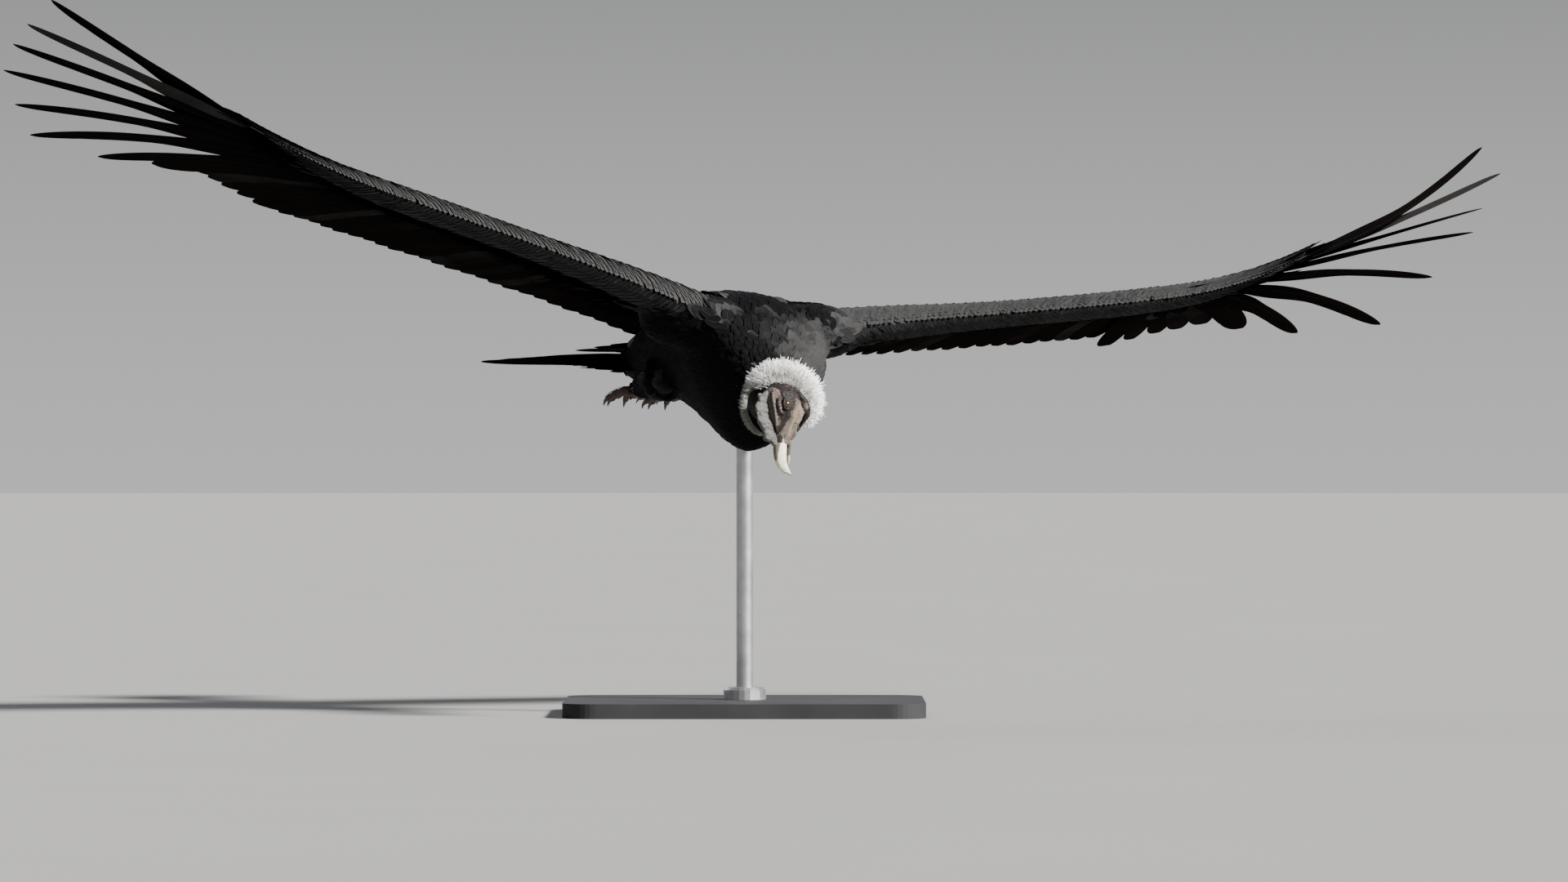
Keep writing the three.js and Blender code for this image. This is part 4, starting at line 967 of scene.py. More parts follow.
def head_tints(points):
    """The head's markings as shares of each colour, from formulas of the place in the head's frame."""
    p = to_head(points)
    x, y, z = np.abs(p[:, 0]), p[:, 1], p[:, 2]
    soft = 0.5 + 0.5 * ripple(points, 14, 3)
    fine = 0.5 + 0.5 * ripple(points, 5, 4)

    def spot(cy, cz, ry, rz, power=1.4):
        return np.exp(-((((y - cy) / ry) ** 2 + ((z - cz) / rz) ** 2) ** power))

    grey = 0.8 * (1 - step(x, 7, 13)) * step(z, 0, 10) + 0.6 * spot(-26, 25, 16, 8)
    eye = 1.35 * spot(5, 9, 23, 15.5, 2.0) * step(x, 10, 17) + 1.2 * spot(-24, 6, 7, 9)
    lore = 1.5 * spot(-62, 5, 7, 5) + 1.3 * spot(-48, 13, 7, 7) + 1.2 * spot(-36, 6, 8, 4)
    cheek = 1.3 * spot(-14, -21, 18, 13) * step(x, 6, 13)
    jaw = 1.2 * spot(-42, -12, 13, 4) * step(x, 8, 14)
    behind = 1.3 * step(y + 0.2 * (4 - z) - np.maximum(z - 18, 0), 11, 19)
    throat = 1.3 * (1 - step(z + 0.35 * x, -31, -22))
    pink = 1.2 * spot(14, 27, 9, 5) + 0.9 * spot(-44, -20, 14, 4)
    return {
        "grey": np.clip(grey, 0, 1),
        "brown": np.clip(eye + lore + 0.2 * fine, 0, 1),
        "tan": np.clip((cheek + jaw) * (0.6 + 0.6 * soft), 0, 1),
        "dusk": np.clip(throat + behind * (0.75 + 0.4 * soft), 0, 1),
        "pink": np.clip(pink, 0, 1) * (0.5 + 0.5 * soft),
    }


def comb_shape():
    """A lobed crest: rings across y whose top follows COMB_TOP with a wave for its lobes."""
    t = np.linspace(0, 1, 64)
    y = lerp(-73, 20, t)
    fold = np.sin(t * COMB_LOBES * 2 * math.pi)
    half, top = smooth(COMB_HALF, t) * (1 + 0.16 * fold), smooth(COMB_TOP, t) + 1.6 * fold
    rings = egg_rings(y, half, smooth(COMB_FOOT, t), top, 24, 0, 0.12)
    lumps = [ball((side * 3.4, *place), (3.4, 6.0, 4.4), 16, 12) for side, *place in COMB_LUMPS]
    return join([loft(rings, (0, -77, 6), (0, 23, 30)), ball((0, -58, 26), (8, 12, 9)), *lumps])


def creased_comb(shape):
    p, n = shape.points, vertex_normals(shape)
    pleat = np.sin(p[:, 1] * 0.62 + 1.3 * np.sin(p[:, 2] * 0.16)) * step(np.abs(p[:, 0]), 1, 4)
    height = 0.45 * pleat + 0.45 * ripple(p, 5.5, 21) + 0.2 * ripple(p, 2.4, 22)
    return Shape(p + n * height[:, None], shape.quads, shape.tris)


# The halves of the bill: y, half width, low, high
BILL_UPPER = np.array([(-60, 11.5, -14, 7), (-74, 11.5, -16, 8), (-88, 10.5, -17, 7), (-100, 9, -20, 3),
                       (-109, 7, -27, -4),
                       (-115, 4.2, -33, -14)], float)
BILL_LOWER = np.array([(-56, 9.5, -27, -17.2), (-72, 9, -27, -18.4), (-86, 7.5, -26, -19.4),
                       (-97, 5, -25.5, -21.8)])


def bill(profile, start, end, ridge):
    """Rings across y read smoothly from the profile, pinched by ridge towards the top edge so that the
    culmen is narrower than the cutting edge."""
    t = 1 - (1 - np.linspace(0, 1, 44)) ** 1.3
    y, half, low, high = smooth(profile, t).T
    rings = egg_rings(y, half, low, high, 36, 0, -ridge)
    return loft(rings, start, end)


def eyeball(side):
    """A ball with a low dome over its front: radius R (1 + 0.05 exp(-(f / 0.55)^4)) at the angle f from
    the way it looks. gaze is that angle."""
    shape = ball((0, 0, 0), (1, 1, 1), 40, 30)
    look = unit(np.array([side * 0.93, -0.34, 0.02]))
    d = unit(shape.points)
    gaze = np.arccos(np.clip(d @ look, -1, 1))
    size = EYE_RADIUS * (1 + 0.05 * np.exp(-((gaze / 0.55) ** 4)))
    return Shape(d * size[:, None] + over_to(side, EYE_PLACE), shape.quads, shape.tris), gaze


def meeting(points, ask):
    """Where a question to a tree, asked for each point, meets the skin, its normal there, and which do."""
    hit, normal, found = points.copy(), np.zeros_like(points), np.zeros(len(points), bool)
    for k, point in enumerate(points):
        place, way, _, _ = ask(Vector(point))
        if place is not None:
            hit[k], normal[k], found[k] = place, way, True
    return hit, normal, found


def under(tree, points, far=600.0):
    """Where plumb lines from points meet the skin."""
    return meeting(points, lambda point: tree.ray_cast(point, Vector((0, 0, -1)), far))


def nearest_on(tree, points):
    return meeting(points, tree.find_nearest)[:2]


def spread_over(points, gaps, seed):
    """An evenly spread choice of points: taken in a random order, each keeps the others its gap away."""
    rng = np.random.default_rng(seed)
    tree = KDTree(len(points))
    for k, p in enumerate(points):
        tree.insert(p, k)
    tree.balance()
    free = np.ones(len(points), bool)
    kept = []
    for k in rng.permutation(len(points)):
        if free[k]:
            kept.append(k)
            for _, other, _ in tree.find_range(points[k], gaps[k]):
                free[other] = False
    return np.array(kept)


def over_skin(skin, count, seed):
    """Points spread by area over a skin, with its smooth normals there."""
    rng = np.random.default_rng(seed)
    q = skin.quads
    p, n = skin.points, vertex_normals(skin)
    area = np.linalg.norm(np.cross(p[q[:, 2]] - p[q[:, 0]], p[q[:, 3]] - p[q[:, 1]]), axis=1)
    face = rng.choice(len(q), count, p=area / area.sum())
    u, v = rng.random((2, count))
    weights = xyz((1 - u) * (1 - v), u * (1 - v), u * v, (1 - u) * v)[..., None]
    return (p[q[face]] * weights).sum(1), unit((n[q[face]] * weights).sum(1))


def body_unwrap(points):
    """The trunk's unwrap: round it by the turn about its length, and along it by y."""
    turn = np.arctan2(points[:, 2] + 70, points[:, 0]) / (2 * math.pi) + 0.5
    return xyz(0.03 + 0.94 * turn, 0.03 + 0.94 * np.clip((points[:, 1] + 180) / 700, 0, 1))


def laid(tree, root, normal, way, length, rise, over):
    """Quadratic shafts over the skin: from the root, over its middle, to a tip that stands over the
    skin nearest to where the way leads."""
    flat = unit(way - normal * dot(normal, way))
    reach = root + flat * length[:, None]
    ground, n1 = nearest_on(tree, reach)
    n1 = np.where(dot(n1, normal) < 0, normal, n1)
    away = np.linalg.norm(ground - reach, axis=1)
    lost = (away > 0.6 * length)[:, None]
    n1 = unit(np.where(lost, normal, n1))
    ground = np.where(lost, reach, ground)
    tip = ground + n1 * over[:, None]
    middle = root + flat * (length * 0.5)[:, None] + unit(normal + n1) * (rise + 0.12 * away)[:, None]
    return middle, tip, n1


def contour_feathers(skin, tree, scale, seed):
    """The body's small feathers, spread evenly over the skin and laid backwards along it. They are
    smallest round the neck and longest on the rump and belly."""
    points, normals = over_skin(skin, 60000, seed)
    from_neck = points - np.array(NECK_PATH[1], float)
    near = np.linalg.norm(from_neck, axis=1)
    x, y, z = points.T
    # Length by place, and the gap between roots from it
    length = lerp(22, 50, step(near, 40, 330)) + 6 * step(y, 150, 330) * step(-z, -40, 60)
    length = scale * (length - 14 * step(y, 300, 360) * (z < -90))
    # Left out: the arm past its root, which has its own tiers, the neck's stub and the feet
    keep = (np.abs(x) < lerp(150, 226, step(-normals[:, 2], -0.1, 0.3))) & (near > 44) & (y < 470)
    chosen = spread_over(points, 2.0 + 0.175 * length, seed + 1)
    chosen = chosen[keep[chosen]]
    kept = (v[chosen] for v in (points, normals, length, near, from_neck))
    points, normals, length, near, from_neck = kept
    rng = np.random.default_rng(seed + 2)
    n, x = len(points), points[:, 0]
    way = xyz(0.25 * np.sign(x) * step(np.abs(x), 60, 150), 1.0, 0)
    way += 1.6 * np.exp(-near / 90)[:, None] * unit(from_neck) + rng.normal(size=(n, 3)) * 0.09
    length = length * (1 + 0.1 * rng.normal(size=n))
    lift = lerp(3.2, 6.0, step(length, 22, 56)) * (1 + 0.2 * rng.normal(size=n))
    root = points - normals * 1.5
    middle, tip, n1 = laid(tree, root, normals, way, length, lift * 0.9, lift)
    width = length * lerp(0.72, 0.58, step(length, 24, 66)) * (1 + 0.08 * rng.normal(size=n))
    on_skin = np.linalg.norm(nearest_on(tree, tip)[0] - tip, axis=1) < 14
    side = np.where(rng.random(n) < 0.5, 1.0, -1.0)
    kept = (v[on_skin] for v in (root, middle, tip, normals, n1, width, side, points))
    root, middle, tip, normals, n1, width, side, points = kept
    # Lightness: random, plus painted light where the feathers face up and to the right towards the key light
    # and on the front of the shoulders, less on the top of the back and towards the tail; elsewhere painted
    # shade keeps them black
    x, y, _ = points.T
    shoulder = step(np.abs(x), 75, 140) * (1 - step(y, -10, 80)) * step(normals[:, 2], -0.3, 0.4)
    painted_light = step(normals @ unit([0.78, -0.36, 0.5]), 0.05, 0.75)
    painted_light = painted_light * (1 - 0.75 * step(normals[:, 2], 0.5, 0.92))
    painted_light = np.maximum(painted_light, 0.7 * shoulder)
    tone_and_painted_shading = rng.normal(size=len(side)) * 0.45 - 2.2 + 5.2 * painted_light * (1 - 0.5 * step(y, -40, 160))
    return short_vanes(root, middle, tip, normals, n1, width, side, body_unwrap(points), tone_and_painted_shading,
                       rows=5, tilt=0.05, round_tip=2.2, thick=1.0, across=(1, 0, -1), lift=0.5)


# Rows of scapulars and tertials: place along y, from x to x, how many, length, width
SHOULDER_ROWS = [
    (-4, 50, 196, 16, 66, 30),
    (24, 42, 200, 15, 84, 33),
    (52, 42, 200, 14, 108, 37),
    (80, 48, 198, 12, 140, 41),
    (104, 60, 190, 9, 180, 46),
]


def shoulder_feathers(tree, wing, scale, seed):
    """Scapulars and tertials: rows that start on the shoulder's top and lie back over the root of the
    wing, longer from row to row."""
    sets = []
    for k, (y, near, far, count, length, width) in enumerate(SHOULDER_ROWS):
        rng = np.random.default_rng(seed + k)
        x = lerp(near, far, (np.arange(count) + 0.5 * (k % 2) + 0.2) / count)
        above = xyz(wing.side * x, y + rng.normal(size=count) * 4 - 0.12 * (x - near), 260.0)
        root, normal, _ = under(tree, above)
        size = length * scale * (1 + 0.06 * rng.normal(size=count))
        way = xyz(wing.side * (0.05 + 0.12 * (x - near) / (far - near)), 1, -0.02)
        tip = root + unit(way) * size[:, None]
        ground, _, on = under(tree, tip + (0, 0, 200))
        # no lower than the skin, and level with the feathers of the arm where there is none
        arm_plane = wing.at("place", np.maximum(x - 88, 10))
        fall = -0.03 - math.tan(math.radians(wing.incidence))
        level = arm_plane[:, 2] + (tip[:, 1] - arm_plane[:, 1]) * fall + 26
        tip[:, 2] = np.maximum(np.where(on, ground[:, 2] + 9, -500), np.minimum(level, root[:, 2] + 6))
        middle = (root + tip) / 2 + xyz(0, 0, 7 + 0.06 * size)
        up1 = unit(np.tile((0, 0.15, 1.0), (count, 1)))
        width = width * (1 + 0.05 * rng.normal(size=count))
        sets.append(short_vanes(root - normal * 2, middle, tip, normal, up1, width, wing.side,
                                xyz(0.1 + 0.8 * x / 260, 0.1 + 0.1 * k), rng.normal(size=count), rows=8,
                                tilt=0.1, thick=1.5))
    return sets


def tail_feathers(across, height, depth, width, length, rise, seed, quills=False):
    """A fan of feathers: the angle from straight back is the spread times the place across, and the
    outer ones are rooted a little lower and are a little shorter."""
    rng = np.random.default_rng(seed)
    side, face = np.where(across < 0, -1.0, 1.0), 1 if height > 0 else -1
    n = len(across)
    angle = np.radians(90 - TAIL_SPREAD * np.abs(across))
    start, end = (
        xyz(side * np.cos(angle) * math.cos(e), np.sin(angle) * math.cos(e), math.sin(e))
        for e in np.radians(np.array(TAIL_DROOP) + rise)
    )
    root = np.array(TAIL_ROOT, float) + xyz(24 * across, 0, height - depth * np.abs(across))
    size = length * (1 - 0.05 * across**2) * (1 + 0.015 * rng.normal(size=n))
    up = np.tile([0, 0, 1.0], (n, 1))
    if quills:
        return flight_feathers(side, root, start, end, up, size, width * 0.42, width * 0.58, 6, 3.6, 1,
                               (0.02, 0.96, 0.3, 0.5), seed)
    return short_vanes(root, *bent(root, start, end, size), up * face, up * face, width, side * face,
                       xyz(0.5 + 0.45 * across, 0.7 + 0.002 * height), rng.normal(size=n), rows=8,
                       thick=1.8)


RUFF_AHEAD = unit(RUFF_FORWARD)
RUFF_RIGHT = -unit(np.cross(RUFF_AHEAD, (0, 0, 1.0)))
RUFF_UP = -unit(np.cross(RUFF_RIGHT, RUFF_AHEAD))
# The locks: their share of all, length, width, rows, how far they lean forward, and how much inside the
# ring they are rooted
RUFF_LOCKS = [(0.24, 0.97, 4.6, 5, 88, 0), (0.48, 1.03, 2.1, 4, 100, 0), (0.28, 0.82, 2.1, 3, 150, 9)]


def ruff_rings(share, radius):
    """Places round the ring, from one end of the horseshoe to the other, and the way out there."""
    turn = np.radians(RUFF_LEAN + RUFF_OPENING / 2) + share * np.radians(360 - RUFF_OPENING)
    out = RUFF_RIGHT * np.cos(turn)[:, None] + RUFF_UP * np.sin(turn)[:, None]
    return through(NECK_PATH, np.array([RUFF_PLACE]))[0] + out * radius[:, None], out


def ruff_slim(share):
    """0 on the ring's full side and 1 where the head leans away and the ruff is thin."""
    return step(share, 0.56, 0.74)


def ruff_core():
    """The pad under the down: a rope round the ring, thin at its two ends."""
    share = np.linspace(0, 1, 60)
    slim = ruff_slim(share)
    line, _ = ruff_rings(share, RUFF_RADIUS + 11 * slim)
    size = (smooth(RUFF_SWELL, share) * RUFF_THICK / 12 - 1.5) * lerp(0.9, 0.3, slim)
    return carried(line, size, 16, 1.0, RUFF_AHEAD)


def ruff_down(count, scale, seed):
    """Locks of down: each leaves the ring at an angle between straight out and forward along the neck,
    curls back by 20 to 95 degrees, and tapers to a point. The ring's ends and its thin side have the
    shortest."""
    rng = np.random.default_rng(seed)
    sets = []
    for part, size, wide, rows, reach, inner in RUFF_LOCKS:
        n = int(count * part)
        share = np.clip((np.arange(n) + rng.random(n)) / n, 0.004, 0.996)
        lean = rng.beta(1.3, 1.5, n)
        slim = ruff_slim(share)
        ring_lean = np.radians(lerp(lerp(-12, -20, slim), lerp(reach, 0.5 * reach + 40, slim), lean))
        ring_lean = ring_lean + rng.normal(size=n) * 0.12
        base, out = ruff_rings(share, RUFF_RADIUS + 11 * slim - inner * (1 - slim))
        twist = np.cross(out, RUFF_AHEAD)

        def aim(angle, sway):
            out_to, ahead = np.cos(angle)[:, None], np.sin(angle)[:, None]
            return unit(out * out_to + RUFF_AHEAD * ahead + twist * sway[:, None])

        sway = rng.normal(size=n) * 0.36
        thick = smooth(RUFF_SWELL, share) * RUFF_THICK / 12 * lerp(0.9, 0.5, slim)
        root = base + aim(ring_lean, 0 * sway) * np.maximum(thick - 4, 1)[:, None]
        ends = np.sqrt(np.maximum(0.2, 1 - (2 * share - 1) ** 10))
        length = lerp(30, 24, lean) * lerp(1, 0.42, slim) * size * scale * ends
        length = length * (1 + 0.12 * rng.normal(size=n))
        curl = np.radians(rng.uniform(20, 95, n))
        middle, tip = bent(root, aim(ring_lean, sway), aim(ring_lean - curl, sway * 2), length)
        normal = RUFF_AHEAD * np.cos(ring_lean)[:, None] - out * np.sin(ring_lean)[:, None]
        normal = unit(normal + rng.normal(size=(n, 3)) * 0.35)
        t = np.linspace(0, 1, rows)
        web = (wide / 2 * (1 + 0.25 * rng.normal(size=n)))[:, None] * (1 - t**2.2)[None].clip(0.12)
        line, up = bezier(root, middle, tip, t), np.repeat(normal[:, None], rows, 1)
        rib, place = np.broadcast_to(1.4 - t, (n, rows)), xyz(0.03 + 0.94 * share, 0.1 + 0.8 * lean)
        # Painted shade: the locks on the ring's thin side are set darker, which the down paint turns dark
        # olive grey
        sets.append(vanes(line, up, web, web, np.ones(n), rib, np.full(n, 0.4), web * 0.5, np.zeros(n),
                          (1, 0, -1), place, tone_and_painted_shading=rng.normal(size=n) * 0.6 + 4.5 * slim))
    return sets


ANKLE = [(46, 318, -106), (43, 345, -112), (40, 372, -119)]
HIND_TOE = [(30, 362, -116), (22, 372, -124), (20, 384, -127)]


def toe_line(side, spread, length):
    """A toe's line from the ankle to the root of its claw, and the claw's tip."""
    at = [(0, 0), (0.35, 3), (0.7, -4), (0.95, -12), (1.05, -24)]
    line = over_to(side, [(40 + spread * share, 370 + length * share, -119 + drop) for share, drop in at])
    return line[:-1], line[-1]


def foot_shape(side):
    """Ankle and toes as ropes with a low pad under each joint, with the hind toe."""
    parts = [rope(over_to(side, ANKLE), [13, 12.2, 11.5], 16, 20)]
    for toe in TOES:
        line, _ = toe_line(side, *toe)
        t = np.linspace(0, 1, 40)
        size = smooth(TOE_SKIN, t) + 0.9 * np.sin(t * 3.5 * 2 * math.pi + 0.6)
        parts.append(carried(through(line, t), size - 0.8, 18))
    parts.append(rope(over_to(side, HIND_TOE), [6.0, 5.4, 4.2], 20, 14))
    return relaxed(fused(join(parts), 1.5), 2)


def foot_scales(side, seed):
    """Scutes across the top of each toe and along the ankle: low caps carried along its upper side."""
    rng = np.random.default_rng(seed)
    lines = [(toe_line(side, *toe)[0], np.linspace(0.06, 0.94, int(toe[1] / 5.2))) for toe in TOES]
    lines = [(line, t, smooth(TOE_SKIN, t) - 0.8, smooth(TOE_SKIN, t) * 1.55) for line, t in lines]
    lines.append((over_to(side, [(47, 305, -104), *ANKLE[1:]]), np.linspace(0, 1, 11), 11.4, 19.0))
    found = []
    for line, t, over, width in lines:
        at = through(line, t)
        way = unit(np.gradient(at, axis=0))
        up = unit(np.array([0, 0, 1.0]) - way * dot(way, np.array([0, 0, 1.0])))
        found.append((at + up * (over + 0 * t)[:, None], up, way, width + 0 * t))
    root, up, way, width = (np.concatenate(v) for v in zip(*found))
    n = len(root)
    tip = root + way * 6.4 + up * 0.6
    middle = root + way * 3.2 + up * 1.4
    return short_vanes(root - up * 0.8, middle, tip, up, up, width, 1, xyz(np.linspace(0.05, 0.95, n), 0.5),
                       rng.normal(size=n), rows=5, tilt=0.0, round_tip=4.0, thick=1.3,
                       across=(1, 0.7, 0.35, 0, -0.35, -0.7, -1))


def claws(side):
    """Each claw a tapering hook: a round section carried along a quadratic curve from inside the toe."""
    hooks = []
    for toe in TOES:
        line, end = toe_line(side, *toe)
        way = unit(line[-1] - line[-2])
        hooks.append((line[-1] - way * 2, line[-1] + way * 8, end, 16, 4.4, 0.7, 14))
    hind = over_to(side, [(20, 383, -127), (20, 392, -127), (21, 396, -136)])
    hooks.append((*hind, 14, 3.6, 0.6, 12))
    parts = []
    for *corners, rows, thick, thin, sides in hooks:
        t = np.linspace(0, 1, rows)
        curve = bezier(*(corner[None] for corner in corners), t)[0]
        parts.append(carried(curve, lerp(thick, thin, t**1.2), sides))
    return join(parts)


class Number:
    """A number in a material: arithmetic on it adds Math nodes."""

    def __init__(self, paint, socket):
        self.paint, self.socket = paint, socket

    def __add__(self, other):
        return self.paint.math("ADD", self, other)

    def __sub__(self, other):
        return self.paint.math("SUBTRACT", self, other)

    def __rsub__(self, other):
        return self.paint.math("SUBTRACT", other, self)

    def __mul__(self, other):
        return self.paint.math("MULTIPLY", self, other)

    def __pow__(self, other):
        return self.paint.math("POWER", self, other)

    __radd__ = __add__
    __rmul__ = __mul__


class Paint:
    """A procedural material: one Principled BSDF and what feeds it."""

    def __init__(self, name):
        self.material = bpy.data.materials.new(name)
        self.material.use_nodes = True
        self.tree = self.material.node_tree
        self.bsdf = self.tree.nodes["Principled BSDF"]
        self.objects = self.node("ShaderNodeTexCoord", output="Object")

    def give(self, socket, value):
        if isinstance(value, Number):
            self.tree.links.new(value.socket, socket)
        elif socket.type == "RGBA":
            socket.default_value = (*value, 1)
        else:
            socket.default_value = value

    def node(self, kind, settings=None, values=None, output=0):
        """Any node: its settings first, then its sockets' values or links by name or number."""
        node = self.tree.nodes.new(kind)
        for key, value in (settings or {}).items():
            setattr(node, key, value)
        for key, value in (values or {}).items():
            self.give(node.inputs[key], value)
        return Number(self, node.outputs[output])

    def math(self, operation, *values):
        return self.node("ShaderNodeMath", {"operation": operation}, dict(enumerate(values)))

    def value(self, name):
        return self.node("ShaderNodeAttribute", {"attribute_name": name}, output="Fac")

    def mix(self, share, a, b):
        return self.node("ShaderNodeMix", {"data_type": "RGBA", "clamp_factor": True},
                         {0: share, 6: a, 7: b}, 2)

    def between(self, value, low, high, to=(0, 1)):
        return self.node("ShaderNodeMapRange", {"interpolation_type": "SMOOTHSTEP"},
                         {0: value, 1: low, 2: high, 3: to[0], 4: to[1]})

    def noise(self, scale, detail=3, rough=0.55, at=None):
        return self.node("ShaderNodeTexNoise", None,
                         {"Vector": at or self.objects, "Scale": scale, "Detail": detail,
                          "Roughness": rough})

    def cells(self, scale, feature="F1", at=None):
        return self.node("ShaderNodeTexVoronoi", {"feature": feature},
                         {"Vector": at or self.objects, "Scale": scale})

    def bump(self, height, distance, strength=1.0, under=None):
        values = {"Height": height, "Distance": distance, "Strength": strength}
        if under is not None:
            values["Normal"] = under
        return self.node("ShaderNodeBump", None, values)

    def bumps(self, *layers):
        """One bump over another: the height, distance and strength of each."""
        normal = None
        for height, distance, strength in layers:
            normal = self.bump(height, distance, strength, normal)
        return normal

    def done(self, **sockets):
        for key, value in sockets.items():
            self.give(self.bsdf.inputs[key.replace("_", " ")], value)
        return self.material


def tinted(colour, *by):
    """A colour times one number, or times one for each of its channels."""
    return tuple(v * w for v, w in zip(colour, by * 3 if len(by) == 1 else by))


def vane_places(paint):
    """Across and along a feather, in metres, from its own UV map."""
    uv = paint.node("ShaderNodeUVMap", {"uv_map": "vane"})
    across = paint.node("ShaderNodeSeparateXYZ", None, {0: uv}, 0)
    along = paint.node("ShaderNodeSeparateXYZ", None, {0: uv}, 1)
    return across, along


def plumage(name, looks, barb=1.0, dull=0.0, fringe=0.5, gloss=0.0, warm=0.0):
    """Black feathers: barbs slant from the shaft to the edge, the shaft is a glossy line, the webs'
    margins are browner and paler, and white where the species has panels. Painted light lifts the lit
    feathers from black to grey, and painted shade keeps the others black."""
    p = Paint(name)
    across, along = vane_places(p)
    sideways = p.math("ABSOLUTE", across)
    share, edge, tone_and_painted_shading, pale = p.value("share"), p.value("edge"), p.value("tone_and_painted_shading"), p.value("pale")
    slant = along * 1.0 - sideways * 1.5
    fine = p.math("SINE", slant * (2 * math.pi / (0.0011 * barb)) + p.noise(160, 2) * 6)
    coarse = p.math("SINE", slant * (2 * math.pi / (0.0072 * barb)) + p.noise(60, 2) * 9 + tone_and_painted_shading * 3)
    cloud = p.noise(9, 4)
    wear = p.between(share, 0.8, 1.0) * 0.75 + p.between(edge, 0.78, 1.0) * 0.25
    # Painted light: the per-feather number lifts lit feathers from black towards the grey brown, and painted
    # shade keeps the far side black; clouds and barbs vary it at random
    cloud_and_painted_light = p.between(cloud * 0.5 + 0.25 + tone_and_painted_shading * 0.13 + coarse * 0.05, 0.5, 1.0)
    colour = p.mix(cloud_and_painted_light, looks.black, looks.brown)
    colour = p.mix(p.between(share, 0.1, 0.7) * warm, colour, (0.02, 0.0125, 0.0075))
    # Worn margins are real, but they show less where painted shade keeps a feather black
    colour = p.mix(wear * (cloud_and_painted_light * 0.85 + 0.15) * (fringe * (0.6 + 0.4 * dull)), colour, looks.fringe)
    quill = p.between(sideways, 0.0006, 0.0014, (1, 0)) * p.between(share, 0.55, 0.95, (1, 0))
    colour = p.mix(quill * 0.4, colour, (0.02, 0.017, 0.015))
    white = p.mix(p.between(coarse * 0.2 + cloud, 0.35, 0.8), looks.panel, tinted(looks.panel, 0.82))
    colour = p.mix(pale * (1 - quill * 0.6), colour, white)
    bump = p.bumps((coarse, 0.00035, 0.5), (fine, 0.00012, 0.5), (quill, 0.0009, 0.6))
    rough = 0.5 + dull * 0.14 + coarse * 0.05 + wear * 0.12 - quill * 0.12
    return p.done(Base_Color=colour, Roughness=rough, Normal=bump, Specular_IOR_Level=gloss)


def down(looks):
    """White down: fine threads along each lock, a little cream at the roots, and dark olive grey on the
    ring's thin side as painted shade.
    """
    p = Paint("down")
    across, _ = vane_places(p)
    share, tone_and_painted_shading = p.value("share"), p.value("tone_and_painted_shading")
    thread = p.math("SINE", across * 9000 + p.noise(420, 2) * 5)
    colour = p.mix(p.between(share, 0.0, 0.55), tinted(looks.down, 0.8, 0.77, 0.7), looks.down)
    # Painted shade: a high number, set on the ring's thin side, turns the down dark olive grey
    colour = p.mix(p.between(tone_and_painted_shading + thread * 0.3, 0.6, 5.0) * 0.9, colour,
                   tinted(looks.down, 0.075, 0.08, 0.062))
    return p.done(Base_Color=colour, Roughness=0.9 + thread * 0.04, Normal=p.bump(thread, 0.0003, 0.4),
                  Sheen_Weight=0.35,
                  Sheen_Roughness=0.5, Specular_IOR_Level=0.2)


def hide(looks):
    """The skin under the feathers: dusky, with the follicles' low bumps and grey down between them."""
    p = Paint("hide")
    pores = p.cells(190)
    cloud = p.noise(30, 5)
    colour = p.mix(p.between(cloud, 0.3, 0.7), looks.black, looks.brown)
    colour = p.mix(p.between(pores, 0.0, 0.35, (1, 0)) * 0.15, colour, looks.fringe)
    return p.done(Base_Color=colour, Roughness=0.85 + cloud * 0.1, Normal=p.bump(pores, 0.002, 0.7),
                  Specular_IOR_Level=0.05)


def bare_skin(looks):
    """The head's and neck's bare skin: grey over the brow, brown round the eye, tan cheeks and dusky
    violet throat, from the shares set on the skin, broken up by blotches, creases and fine hairs' dots."""
    p = Paint("bare_skin")
    blotch, fine = p.noise(85, 5, 0.6), p.noise(420, 4, 0.6)
    cracks = p.cells(900, "DISTANCE_TO_EDGE")
    warts = p.cells(620)
    folds = p.node("ShaderNodeTexNoise", {"noise_type": "RIDGED_MULTIFRACTAL"},
                   {"Vector": p.objects, "Scale": 110, "Detail": 4, "Roughness": 0.5})
    ragged = blotch * 0.5 - 0.25
    colour = p.mix(p.between(blotch, 0.3, 0.7), looks.skin, tinted(looks.skin, 0.72))
    for share, tint in (("grey", looks.comb), ("tan", looks.tan), ("brown", looks.brown_skin),
                        ("pink", looks.pink), ("dusk", looks.dusk)):
        colour = p.mix(p.between(p.value(share) + ragged, 0.15, 0.85), colour, tint)
    colour = p.mix(p.between(fine, 0.45, 0.75) * 0.35, colour, tinted(looks.skin, 0.45))
    colour = p.mix(p.between(folds, 0.5, 1.3) * 0.3, colour, tinted(looks.brown_skin, 0.5))
    colour = p.mix(p.between(cracks, 0.0, 0.12, (1, 0)) * 0.22, colour, tinted(looks.brown_skin, 0.5))
    crazed = p.between(cracks, 0.0, 0.3)
    bump = p.bumps((folds, 0.0014, 0.6), (warts, 0.0007, 0.5), (crazed, 0.00025, 0.4), (fine, 0.0004, 0.4))
    return p.done(Base_Color=colour, Roughness=0.5 + blotch * 0.22 - p.between(fine, 0.5, 0.8) * 0.1,
                  Normal=bump, Specular_IOR_Level=0.22,
                  Coat_Weight=0.02, Coat_Roughness=0.4)


